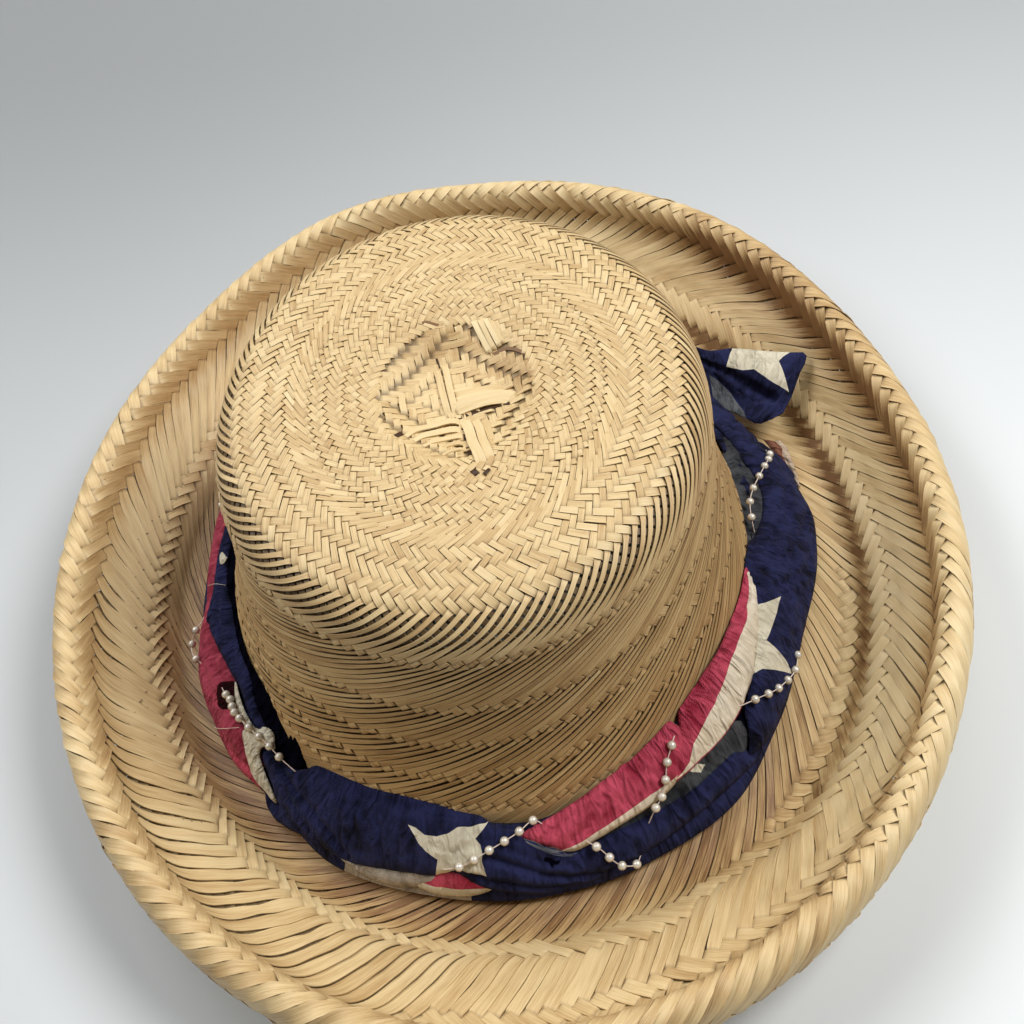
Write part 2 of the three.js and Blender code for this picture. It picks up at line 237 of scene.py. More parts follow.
# Flat strips of splint, gathered into one mesh: every strip is a closed tube with four corners
class StripSet:
    def __init__(self):
        self.points, self.faces, self.grain, self.tone, self.shade = [], [], [], [], []
        self.count = 0

    def add(self, middle, normal, width, thick, tone, shadeOut, shadeIn, tilt=0.0, offset=0.0):
        m = len(middle)
        along = unit(np.gradient(middle, axis=0))
        side = unit(np.cross(along, normal))
        up = np.cross(side, along)
        side, up = side * math.cos(tilt) + up * math.sin(tilt), up * math.cos(tilt) - side * math.sin(tilt)
        half = (np.broadcast_to(width, m) / 2)[:, None]
        rise = np.broadcast_to(thick, m)[:, None] / 2
        corners = np.stack([middle - side * half + up * rise, middle + side * half + up * rise,
                            middle + side * half - up * rise, middle - side * half - up * rise], axis=1)
        length = lengthsAlong(middle)
        grain = np.zeros((m, 4, 3))
        grain[:, :, 0] = half * np.array([-1, 1, 1, -1]) + offset * straw["grainShift"][0]
        grain[:, :, 1] = length[:, None] + offset * straw["grainShift"][1]
        grain[:, :, 2] = offset
        shade = np.empty((m, 4))
        shade[:, :2] = np.broadcast_to(shadeOut, m)[:, None]
        shade[:, 2:] = np.broadcast_to(shadeIn, m)[:, None]
        base = self.count + 4 * np.arange(m - 1)[:, None]
        for c in range(4):
            d = (c + 1) % 4
            self.faces.append(base + np.array([c, d, 4 + d, 4 + c]))
        last = self.count + 4 * (m - 1)
        self.faces.append(np.array([[self.count, self.count + 3, self.count + 2, self.count + 1],
                                    [last, last + 1, last + 2, last + 3]]))
        self.points.append(corners.reshape(-1, 3))
        self.grain.append(grain.reshape(-1, 3))
        self.shade.append(shade.ravel())
        self.tone.append(np.repeat(np.broadcast_to(tone, m), 4))
        self.count += 4 * m

    def build(self, name, material):
        values = {"grain": np.concatenate(self.grain), "tone": np.concatenate(self.tone),
                  "shade": np.concatenate(self.shade)}
        print("woven", name, self.count * 2, "triangles")
        return makeMesh(name, np.concatenate(self.points), self.faces, material, values, sharpCorners=4)


def newMaterial(name):
    material = bpy.data.materials.new(name)
    material.use_nodes = True
    tree = material.node_tree
    tree.nodes.clear()
    out = tree.nodes.new("ShaderNodeOutputMaterial")
    shader = tree.nodes.new("ShaderNodeBsdfPrincipled")
    tree.links.new(shader.outputs["BSDF"], out.inputs["Surface"])
    return material, tree, shader


def node(tree, kind, links=None, **settings):
    made = tree.nodes.new("ShaderNode" + kind)
    for key, value in settings.items():
        setattr(made, key, value)
    for key, value in (links or {}).items():
        socket = made.inputs[key]
        if isinstance(value, bpy.types.NodeSocket):
            tree.links.new(value, socket)
        else:
            socket.default_value = value
    return made


def ramp(tree, factor, stops):
    made = node(tree, "ValToRGB", {"Fac": factor})
    while len(made.color_ramp.elements) < len(stops):
        made.color_ramp.elements.new(0.5)
    for element, (place, color) in zip(made.color_ramp.elements, stops):
        element.position = place
        element.color = (*color, 1)
    return made.outputs["Color"]


# Splint: long streaks of grain, a tone for each strip with the painted light and shade of its place, and the
# dust and painted shade between the strips
def strawMaterial():
    material, tree, shader = newMaterial("palmSplint")
    grain = node(tree, "Attribute", attribute_name="grain").outputs["Vector"]
    tone = node(tree, "Attribute", attribute_name="tone").outputs["Fac"]
    shade = node(tree, "Attribute", attribute_name="shade").outputs["Fac"]
    stretched = node(tree, "Mapping", {"Vector": grain, "Scale": straw["streaks"]}).outputs["Vector"]
    streaks = node(tree, "TexNoise", {"Vector": stretched, "Scale": 1.6, "Detail": 3.0,
                                      "Roughness": 0.6}).outputs["Fac"]
    wide = node(tree, "Mapping", {"Vector": grain, "Scale": straw["patches"]}).outputs["Vector"]
    patches = node(tree, "TexNoise", {"Vector": wide, "Scale": 1.0, "Detail": 2.0}).outputs["Fac"]
    mixed = node(tree, "Math", {0: streaks, 1: straw["streakShare"]}, operation="MULTIPLY").outputs[0]
    mixed = node(tree, "Math", {0: patches, 1: straw["patchShare"], 2: mixed},
                 operation="MULTIPLY_ADD").outputs[0]
    mixed = node(tree, "Math", {0: tone, 1: mixed}, operation="ADD").outputs[0]
    color = ramp(tree, mixed, straw["grain"])
    # painted shade: the parts of a strip that lie underneath are darkened towards the between colour
    paintedShade = node(tree, "Mix", {"Factor": shade, "A": (*straw["between"], 1), "B": (1, 1, 1, 1)},
                data_type="RGBA").outputs["Result"]
    color = node(tree, "Mix", {"Factor": 1.0, "A": color, "B": paintedShade}, data_type="RGBA",
                 blend_type="MULTIPLY").outputs["Result"]
    tree.links.new(color, shader.inputs["Base Color"])
    low, high = straw["roughness"]
    rough = node(tree, "MapRange", {"Value": streaks, "To Min": low, "To Max": high}).outputs["Result"]
    tree.links.new(rough, shader.inputs["Roughness"])
    bump = node(tree, "Bump", {"Height": streaks, "Strength": straw["relief"],
                               "Distance": straw["reliefDepth"]}).outputs["Normal"]
    tree.links.new(bump, shader.inputs["Normal"])
    shader.inputs["Specular IOR Level"].default_value = straw["shine"]
    return material


# The weave: lengths run along the section from the middle of the crown, angles go round the hat in degrees
weave = {
    "seed": 11, "depth": 1.15, "tilt": 0.07, "toneSpread": 0.03, "secondTone": 0.03,
    # how much a strip strays from its place and changes its width along its way, as a share of its pitch
    "wander": 0.035, "uneven": 0.04, "straySpan": 11,
    # millimetres from one step of a strip's course to the next; share of a ring from a crossing to the bends
    # beside it; how far a strip's two ends dip
    "courseStep": 0.25, "bend": 0.25, "endDip": 0.5,
    # lengths between which the wide zone's slant and cover and the rim's slant take over, and give way
    "wideIn": (199, 206), "wideOut": (218, 226), "coverIn": (204, 222), "coverOut": (230, 236),
    "rimIn": (219, 226), "rimOut": (233, 239),
    # from, to: length along the line; strips in each of the two layers; offset over and under; thickness
    "zones": [
        {"name": "inner", "from": 24.6, "to": 34.5, "strips": 64, "step": 0.34, "thick": 0.34},
        {"name": "top", "from": 33.6, "to": 51.2, "strips": 92, "step": 0.34, "thick": 0.34},
        {"name": "crown", "from": 50.2, "to": 168, "strips": 124, "step": 0.34, "thick": 0.36},
        {"name": "brim", "from": 166, "to": 264.5, "strips": 160, "step": 0.42, "thick": 0.42},
    ],
    # length, slant of the first layer and of the second in degrees
    "slants": [(20, 42, 45), (34, 46, 45), (47, 59, 45), (53, 56, 45), (55, 50, 45), (71, 48, 45),
               (74, 48, 44), (81, 60, 42), (86, 62, 40), (152, 62, 40), (168, 60, 44), (184, 58, 45),
               (190, 54, 45), (197, 50, 47), (204, 45, 50), (226, 45, 50), (231, 50, 50), (265, 50, 48)],
    # length from which this layer is on top: 1 the first layer, 0 the second
    "turns": [(0, 1), (24, 0), (28, 1), (30, 0), (32, 1), (35, 0), (38, 1), (41, 0), (43.5, 1), (45.5, 0),
              (47, 1), (53.5, 0), (57.5, 1), (61, 0), (64.5, 1), (67.5, 0), (71, 1), (252, 0), (256.5, 1)],
    # rings down the crown's side where the second layer shows as small ticks: angle, length
    "ticks": [
        [(205, 84), (230, 85.5), (260, 86.8), (300, 86.8), (330, 86), (450, 86)],
        [(205, 111.5), (215, 110), (230, 108), (250, 106.5), (290, 105.5), (330, 104), (450, 106)],
        [(205, 127), (230, 124), (250, 122.5), (270, 120.5), (300, 118), (330, 116.5), (450, 121)],
        [(205, 136.5), (230, 137), (250, 136), (270, 133.5), (300, 131), (330, 130), (450, 134)],
        [(205, 147), (300, 147)],
    ],
    "tickHalf": 0.85, "tickOpen": 0.48, "tickClosed": 1.0,
    # rings round the brim where the second layer is on top: angle, from, to
    "rings": [
        [(180, 196, 203.5), (205, 195, 203), (215, 193, 200.5), (225, 193.5, 201), (235, 194, 199.6),
         (250, 192.5, 198), (262, 191.5, 197.5), (275, 192.4, 201), (288, 194, 204), (298, 190.5, 196),
         (308, 189.6, 195.6), (315, 194, 200), (322, 197, 205), (332, 197, 205), (345, 196, 203.4),
         (360, 196, 203.6), (375, 197, 204), (390, 197, 205), (450, 198, 205), (520, 198, 205)],
        [(305, 188, 188), (314, 187.6, 190), (346, 187.6, 190), (354, 188, 188)],
        [(250, 224, 224), (258, 219, 223.6), (264, 217, 222.6), (280, 215.8, 221), (298, 216, 221),
         (308, 218.5, 223), (318, 221, 225), (325, 223, 226), (330, 226, 226)],
        [(180, 226, 236.5), (235, 226, 236), (246, 226, 234.5), (254, 226, 226), (296, 236, 236),
         (304, 235.5, 238.5), (322, 234.5, 239), (330, 229, 238), (345, 228, 237), (400, 228, 237),
         (470, 227, 236.5)],
    ],
    # length, share of the pitch that a strip of the first layer covers, and of the second
    "covers": [(20, 0.95, 0.93), (70, 0.93, 0.9), (72.5, 0.54, 0.62), (80, 0.5, 0.64), (83, 0.84, 0.8),
               (84, 0.95, 0.94), (149, 0.92, 0.94), (166, 0.9, 0.94), (172, 0.9, 1.02), (188, 0.92, 1.04),
               (194, 1.0, 1.1), (206, 1.02, 1.1), (228, 1.02, 1.04), (231, 0.99, 1.0), (240, 0.96, 0.97),
               (265, 0.96, 0.97)],
    # length, how much lighter or darker the straw is: partly its own browner tone down the side and brim,
    # partly painted shade in the trough by the band and in the valley before the rim
    "tones": [(20, -0.045), (68, -0.04), (74, -0.06), (86, -0.12), (150, -0.14), (168, -0.16), (176, -0.25),
              (184, -0.3), (188, -0.25), (192, -0.09), (196, -0.035), (214, -0.04), (222, -0.08),
              (229, -0.17), (233, -0.14), (237, -0.06), (265, -0.09)],
    # the same at the hat's right side, with painted shade in the valley lines beside the crest and before the
    # rim and painted light on the crest, and how far it counts at an angle
    "rightTonesAndShade": [(20, -0.045), (68, -0.04), (74, -0.07), (86, -0.17), (150, -0.2), (168, -0.16),
                   (184, -0.12), (189, -0.06), (191.5, -0.14), (193.5, -0.38), (195.5, -0.3), (198, 0.03),
                   (212, 0.07), (220, 0), (225, -0.2), (229, -0.38), (232, -0.3), (235, -0.05),
                   (240, -0.02), (265, -0.06)],
    "rightShare": [(60, 0), (300, 0), (332, 1), (408, 1), (420, 0)], "toneTurn": 60,
    # painted light and shade on the brim round the hat, from the first length on and in full from the second
    "brimLightAndShade": [(60, 0.06), (78, 0.14), (108, 0.14), (135, 0.04), (300, 0), (325, 0.11), (350, 0.08),
                  (372, -0.05), (392, -0.15), (408, -0.1), (420, 0.06)], "brimToneFrom": (186, 200),
    # angle, share that the long strips of the wide zone cover
    "wideCover": [(170, 0.95), (186, 0.9), (232, 0.88), (246, 1.0), (300, 1.0), (312, 0.92), (345, 0.88),
                  (380, 0.9), (420, 0.94)],
    # places where a gap stands open: angle, length, reach of both, how much narrower the strips are
    "open": [(183, 224, 1.6, 6, 0.4), (192.5, 253, 1, 4, 0.35), (200.5, 250, 1, 8, 0.5),
             (215.5, 250, 1, 8, 0.5), (213, 204, 1.4, 5, 0.3), (228, 214, 1.2, 7, 0.3),
             (232, 211, 1.2, 7, 0.3), (240, 210, 1.2, 7, 0.3), (245, 186, 2, 3, 0.3), (257, 183, 3, 3, 0.3),
             (290.5, 229, 1, 8, 0.4), (302, 228, 1, 6, 0.3)],
    # length, painted shade on the strip underneath: how much of its colour is left
    "under": [(20, 0.4), (34, 0.3), (42, 0.14), (70, 0.12), (72.5, 0.2), (82, 0.16), (85, 0.1), (160, 0.1),
              (170, 0.3), (188, 0.3), (194, 0.24), (204, 0.28), (232, 0.28), (240, 0.2), (265, 0.16)],
    # angle, slant of the first layer in the brim's wide zone
    "wideSlant": [(195, 33), (232, 37), (251, 34), (300, 46), (360, 52), (375, 60), (450, 58),
                  (520, 48), (545, 36)],
    # angle, slant over the top of the rim
    "rimSlant": [(180, 50), (250, 50), (262, 22), (318, 22), (328, 50), (450, 50)],
}


def weaveColumn(key, s, column=1):
    rows = np.array(weave[key], float)
    return np.interp(s, rows[:, 0], rows[:, column])


# How much lighter or darker the straw is than its plain colour, with painted light and shade by place
def toneAt(phi, s):
    degrees = np.degrees(phi) % 360
    degrees = np.where(degrees < weave["toneTurn"], degrees + 360, degrees)
    atRight = np.interp(degrees, *zip(*weave["rightShare"]))
    ofBrim = np.interp(degrees, *zip(*weave["brimLightAndShade"])) * eased(s, *weave["brimToneFrom"])
    return weaveColumn("tones", s) * (1 - atRight) + weaveColumn("rightTonesAndShade", s) * atRight + ofBrim


def byAngle(rows, phi, column=1):
    return roundValue([(row[0], row[column]) for row in rows], np.degrees(phi))


def firstSlant(phi, s):
    plain = weaveColumn("slants", s)
    wide = easedBetween(s, weave["wideIn"], weave["wideOut"])
    rim = easedBetween(s, weave["rimIn"], weave["rimOut"])
    slant = plain + (byAngle(weave["wideSlant"], phi) - plain) * wide
    return np.radians(slant + (byAngle(weave["rimSlant"], phi) - slant) * rim)


def secondSlant(s):
    return np.radians(weaveColumn("slants", s, 2))


# 1 where the first layer is on top
def firstOnTop(phi, s):
    places = np.array([row[0] for row in weave["turns"]])
    states = np.array([row[1] for row in weave["turns"]])
    top = states[np.clip(np.searchsorted(places, s, side="right") - 1, 0, len(places) - 1)]
    for rows in weave["ticks"]:
        top = np.where(abs(s - byAngle(rows, phi)) < weave["tickHalf"], 0, top)
    for rows in weave["rings"]:
        top = np.where((s > byAngle(rows, phi)) & (s < byAngle(rows, phi, 2)), 0, top)
    return top


# Share of its pitch that a strip of the first layer covers
def firstCover(phi, s):
    cover = weaveColumn("covers", s)
    lines = [byAngle(rows, phi) + weave["tickHalf"] for rows in weave["ticks"]]
    for above, below in zip(lines, lines[1:]):
        share = np.clip((s - above) / (below - above), 0, 1)
        closing = weave["tickOpen"] + (weave["tickClosed"] - weave["tickOpen"]) * share
        cover = np.where((s > above) & (s <= below), closing, cover)
    wide = easedBetween(s, weave["coverIn"], weave["coverOut"])
    return cover + (byAngle(weave["wideCover"], phi) - cover) * wide


# Share of its width that a strip keeps beside the gaps that stand open
def openness(phi, s):
    left = np.ones_like(s)
    for angle, length, reachAngle, reach, amount in weave["open"]:
        off = awayFrom(np.degrees(phi), angle)
        left = left * (1 - amount * np.exp(-(off / reachAngle) ** 2 - ((s - length) / reach) ** 2))
    return left


# The two layers of one zone, as strips that pass over and under each other ring by ring
def weaveZone(zone, firsts, seconds, rng):
    count, pitch = zone["strips"], 2 * math.pi / zone["strips"]
    s = np.arange(zone["from"], zone["to"] + weave["courseStep"], weave["courseStep"])
    phi = np.empty((len(s), count))
    phi[0] = pitch * np.arange(count)
    turn = np.zeros(len(s))
    for k in range(1, len(s)):
        r1, z1 = section(phi[k - 1], s[k - 1])
        r2, z2 = section(phi[k - 1], s[k])
        run = np.hypot(r2 - r1, z2 - z1)
        phi[k] = phi[k - 1] - np.tan(firstSlant(phi[k - 1], s[k])) * run / ((r1 + r2) / 2)
        radius = np.interp(s[k], fineLine, finePoints[:, 0])
        turn[k] = turn[k - 1] + math.tan(secondSlant(s[k])) * weave["courseStep"] / radius
    # how far apart the strips of the first layer run, as an angle
    apart = (np.roll(phi, -1, axis=1) - np.roll(phi, 1, axis=1)) / 2
    apart[:, 0] += math.pi
    apart[:, -1] += math.pi
    # the ring number grows by one at each crossing
    first = np.arange(count)
    ringFirst = first[None, :] - (phi - turn[:, None]) / pitch
    ringSecond = np.empty_like(ringFirst)
    for k in range(len(s)):
        places = phi[k]
        wanted = pitch * first + turn[k]
        around = np.concatenate([places - 2 * math.pi, places, places + 2 * math.pi, places + 4 * math.pi])
        numbers = np.concatenate([first - count, first, first + count, first + 2 * count]).astype(float)
        shift = np.round((places[0] - wanted[0]) / (2 * math.pi)) * 2 * math.pi
        found = np.interp(wanted + shift, around, numbers) - shift / (2 * math.pi) * count
        ringSecond[k] = found - first
    lastRing = int(math.ceil(max(ringFirst[-1].max(), ringSecond[-1].max())))
    # which layer is on top at each crossing of strip and ring
    onTop = np.ones((count, lastRing + 2), int)
    for i in range(count):
        at = np.interp(np.arange(lastRing + 2), ringFirst[:, i], s)
        onTop[i] = firstOnTop(np.interp(at, s, phi[:, i]), at)
    knots = np.arange(zone["from"] - 1, zone["to"] + weave["straySpan"] + 1, weave["straySpan"])
    for isFirst, target in ((True, firsts), (False, seconds)):
        for i in range(count):
            ring = ringFirst[:, i] if isFirst else ringSecond[:, i]
            end = int(math.floor(ring[-1]))
            rings = np.arange(0, end + 1)
            wanted = np.sort(np.concatenate([rings - weave["bend"], rings + weave["bend"]]))
            wanted = wanted[(wanted >= 0) & (wanted <= ring[-1])]
            wanted = np.concatenate([[ring[0]], wanted[wanted > ring[0] + 0.1], [ring[-1]]])
            at = np.interp(wanted, ring, s)
            angle = np.interp(at, s, phi[:, i]) if isFirst else pitch * i + np.interp(at, s, turn)
            crossing = np.clip(np.round(wanted).astype(int), 0, lastRing)
            above = onTop[i, crossing] if isFirst else 1 - onTop[(i + crossing) % count, crossing]
            stray = np.interp(at, knots, rng.normal(0, weave["wander"], len(knots))) * pitch
            uneven = 1 + np.interp(at, knots, rng.normal(0, weave["uneven"], len(knots)))
            lift = (above * 2 - 1) * zone["step"]
            ends = np.minimum(np.arange(len(at)), np.arange(len(at))[::-1])
            lift = lift - np.where(ends == 0, weave["endDip"], 0)
            middle = overFace(angle + stray, at, lift - weave["depth"])
            normal = unit(overFace(angle + stray, at, 0.5) - overFace(angle + stray, at, -0.5))
            cover = firstCover(angle, at) * openness(angle, at) if isFirst else weaveColumn("covers", at, 2)
            room = np.interp(at, s, apart[:, i]) if isFirst else pitch
            across = overFace(angle + room / 2, at, 0) - overFace(angle - room / 2, at, 0)
            along = unit(np.gradient(overFace(angle, at, 0), axis=0))
            across = across - along * (across * along).sum(axis=1, keepdims=True)
            width = cover * uneven * np.linalg.norm(across, axis=1)
            tone = rng.normal(0, weave["toneSpread"]) + (0 if isFirst else weave["secondTone"])
            # each strip's own tone, plus the painted light and shade of its place
            tone = tone + toneAt(angle, at)
            # painted shade on the parts of a strip that pass underneath
            paintedShade = 1 - weaveColumn("under", at)
            target.add(middle, normal, width, zone["thick"], tone, 1 - paintedShade * (1 - above), 1 - paintedShade * above,
                       tilt=rng.normal(0, weave["tilt"]), offset=rng.uniform(0, straw["grainPlaces"]))


# The square start of the weave in the sunken middle, the loose bundles of splint that cross it, and dark
# strips painted as the shade in its cracks and holes
dimple = {
    "seed": 5, "strips": 15, "pitch": 2.2, "reach": 27.6, "lean": 0.09, "step": 0.32, "thick": 0.32,
    # share of the pitch that a strip covers and how it varies; how far it strays as a whole and on its way
    "cover": 0.96, "uneven": 0.05, "stray": 0.1, "waver": 0.08,
    # the strips dip at the edge; the bundles' thickness, that of the dark strips painted as the shade in the
    # cracks, and the step along them
    "edgeReach": 3, "edgeDip": 0.5, "bundleThick": 0.4, "shadeStripThick": 0.15, "bundleStep": 1.2,
    # a strip with fewer bends than this is left out
    "fewest": 6,
    # places where the straw is darker: x, y, size, how much darker
    "darkerPlaces": [(-11, 19, 7, 0.13), (-1, 17, 6, 0.1), (16, 3, 6, 0.14), (18, -5, 5, 0.1), (8, 8, 6, 0.06)],
    # points x, y, lift over the face; then width, tone, painted shade
    "bundles": [
        ([(-5, -1.3, 0.5), (0, -1.0, 0.9), (6, -0.8, 0.8), (12, -2.6, -0.6)], 2.3, 0.0, 1),
        ([(-5.2, -3.8, 0.6), (0, -3.1, 1.0), (6, -2.9, 0.9), (12.5, -4.4, -0.6)], 2.4, 0.04, 1),
        ([(-5.4, -7.2, 0.6), (-1, -6.2, 1.3), (5, -5.2, 1.4), (9.5, -5.6, 0.7), (12.8, -6.8, -0.8)], 4.2,
         0.1, 1),
        ([(-3.6, -9.8, -0.4), (-2.2, -14, 1.0), (-0.9, -22, 1.3), (0.8, -30, 0.8), (1.6, -34, -0.8)], 2.9,
         0.1, 1),
        ([(-0.9, -9, -0.6), (0.8, -14, 0.8), (2, -22, 1.0), (3.4, -29, 0.5), (4, -32, -0.8)], 2.4, 0.04, 1),
        ([(1.9, -8.5, -0.6), (3.1, -14, 0.5), (4, -20, 0.5), (4.8, -26, -0.6)], 1.9, 0.0, 1),
        ([(-20.4, -16.6, -0.8), (-17, -13.8, 0.7), (-12, -12.4, 1.0), (-5, -11.6, 0.7), (-3.6, -11.8, -0.6)],
         2.2, 0.08, 1),
        ([(-18.6, -18.4, -0.8), (-15, -16.2, 0.6), (-10, -15.0, 0.9), (-5, -14.6, 0.6), (-3.2, -14.7, -0.6)],
         2.2, 0.03, 1),
        ([(-16, -20.4, -0.8), (-12, -18.6, 0.5), (-8, -17.8, 0.7), (-4, -17.6, 0.5), (-2.7, -17.7, -0.6)],
         2.0, 0.06, 1),
        ([(-12, -22, -0.8), (-8, -20.8, 0.5), (-4, -20.6, 0.5), (-2.3, -20.7, -0.6)], 2.0, 0.0, 1),
        ([(-10.5, -25, -0.8), (-7, -24, 0.5), (-3.4, -23.8, 0.4), (-1.9, -23.9, -0.6)], 2.0, 0.03, 1),
        ([(-10.4, 13, -0.8), (-9.6, 8, 0.6), (-8.6, 0, 0.8), (-7.6, -7, 0.6), (-7.3, -9.6, -0.6)], 1.9,
         0.03, 1),
        ([(-8, 14.5, -0.8), (-7.2, 9, 0.7), (-6.3, 0, 0.9), (-5.4, -7, 0.7), (-5.1, -9.6, -0.6)], 1.9, 0.08,
         1),
        ([(1.6, 26, -0.8), (2.8, 22, 0.7), (4.8, 16, 0.9), (6.2, 12, 0.6)], 1.7, 0.17, 1),
        ([(3.6, 26, -0.8), (4.7, 22, 0.7), (6.5, 16, 0.9), (7.7, 12.4, 0.6)], 1.5, 0.12, 1),
        ([(5.3, 26, -0.8), (6.3, 22, 0.6), (7.9, 17, 0.8), (9.2, 12.9, 0.5)], 1.4, 0.15, 1),
        ([(6.9, 25.5, -0.8), (8.2, 20, 0.5), (10.4, 13.4, 0.4)], 1.4, 0.02, 1),
        ([(3.8, 12.4, 0.1), (7, 11.3, 0.35), (11, 11.4, 0.3), (15.5, 8.2, 0.2), (19.5, 3, 0)], 1.0, -0.34,
         0.9),
        ([(-15.5, 24, 0.1), (-12, 25.2, 0.3), (-8, 23.6, 0.3), (-3, 24, 0.1)], 0.9, -0.3, 0.9),
        # dark strips painted as the shade in cracks and holes
        ([(-4.2, -9.6, 0.35), (-3.5, -14, 0.35), (-2.6, -22, 0.35), (-1.3, -31, 0.35), (-0.6, -36, 0.3)],
         1.1, 0, 0),
        ([(-9.8, -9.9, 0.35), (-7, -10.2, 0.35), (-3.6, -9.9, 0.35)], 0.9, 0, 0),
        ([(-2.5, -9.5, 0.4), (2, -8.2, 0.45), (7, -7.4, 0.45), (12, -8.4, 0.35)], 1.3, 0, 0),
        ([(-21.8, -17.4, 0.6), (-20.2, -15.6, 0.6)], 1.5, 0, 0),
        ([(-1.4, -34.4, 0.6), (-0.2, -36.4, 0.6)], 1.7, 0, 0),
        ([(1.6, -36.8, 0.9), (3.2, -35.2, 0.9)], 1.0, 0, 0),
        ([(-9.6, 13.4, 0.5), (-9, 10, 0.5)], 0.7, 0, 0),
    ],
}


# Angle and mean radius of a place on the crown's top from its x and y
def topPlace(x, y):
    flat = hatShape["crownOval"] / hatShape["crownFull"]
    across, along = (x - hatShape["shiftX"]) / (1 - flat), (y - hatShape["shiftY"]) / (1 + flat)
    return np.arctan2(along, across), np.hypot(across, along)


def overTop(x, y, over):
    phi, radius = topPlace(x, y)
    inner = fineLine < hatShape["topEnd"]
    return overFace(phi, np.interp(radius, finePoints[inner, 0], fineLine[inner]), over)


def darkerAt(x, y):
    return sum(-depth * np.exp(-((x - at[0]) ** 2 + (y - at[1]) ** 2) / size ** 2)
               for *at, size, depth in dimple["darkerPlaces"])


def addOnTop(strips, x, y, over, width, thick, tone, shade, rng):
    normal = unit(overTop(x, y, over + 1) - overTop(x, y, over - 1))
    strips.add(overTop(x, y, over - weave["depth"]), normal, width, thick, tone + darkerAt(x, y), shade,
               shade, tilt=rng.normal(0, weave["tilt"]), offset=rng.uniform(0, straw["grainPlaces"]))


def buildDimple(material):
    rng = np.random.default_rng(dimple["seed"])
    strips = StripSet()
    pitch, reach = dimple["pitch"], dimple["reach"]
    # painted shade on the strips where they pass underneath
    shadeDepth = 1 - weave["under"][0][1]
    numbers = np.arange(-dimple["strips"], dimple["strips"] + 1)
    fine = np.sort(np.concatenate([numbers - weave["bend"], numbers + weave["bend"]]))
    for upright in (True, False):
        for i in numbers:
            place = i * pitch + rng.normal(0, dimple["stray"]) + rng.normal(0, dimple["waver"], len(fine))
            run = fine * pitch
            x, y = (place - run * dimple["lean"], run) if upright else (run, place + run * dimple["lean"])
            x, y = x + hatShape["shiftX"], y + hatShape["shiftY"]
            radius = topPlace(x, y)[1]
            keep = radius < reach
            if keep.sum() < dimple["fewest"]:
                continue
            crossing = np.round(fine[keep]).astype(int)
            column, row = (i, crossing) if upright else (crossing, i)
            mirrored = (column * row) > 0
            above = (((column + np.where(mirrored, row, -row)) // 2) % 2 == 0).astype(int)
            above = above if upright else 1 - above
            dip = dimple["edgeDip"] * eased(radius[keep], reach - dimple["edgeReach"], reach)
            width = pitch * dimple["cover"] * (1 + rng.normal(0, dimple["uneven"]))
            addOnTop(strips, x[keep], y[keep], (above * 2 - 1) * dimple["step"] - dip, width,
                     dimple["thick"], rng.normal(0, weave["toneSpread"]), 1 - shadeDepth * (1 - above), rng)
    for points, width, tone, shade in dimple["bundles"]:
        points = np.array(points, float)
        count = max(4, int(lineLength(points[:, :2]) / dimple["bundleStep"]))
        line = smoothLine(points, np.linspace(0, lineLength(points), count))
        thick = dimple["bundleThick"] if shade else dimple["shadeStripThick"]
        addOnTop(strips, *line.T, width, thick, tone, shade, rng)
    return strips.build("dimple_splints", material)


def buildWeave(material):
    rng = np.random.default_rng(weave["seed"])
    pieces = [buildDimple(material)]
    for zone in weave["zones"]:
        firsts, seconds = StripSet(), StripSet()
        weaveZone(zone, firsts, seconds, rng)
        for label, strips in (("first", firsts), ("second", seconds)):
            pieces.append(strips.build(f"{zone['name']}_splints_{label}", material))
    for piece in pieces:
        standFor(piece, "woven_body")


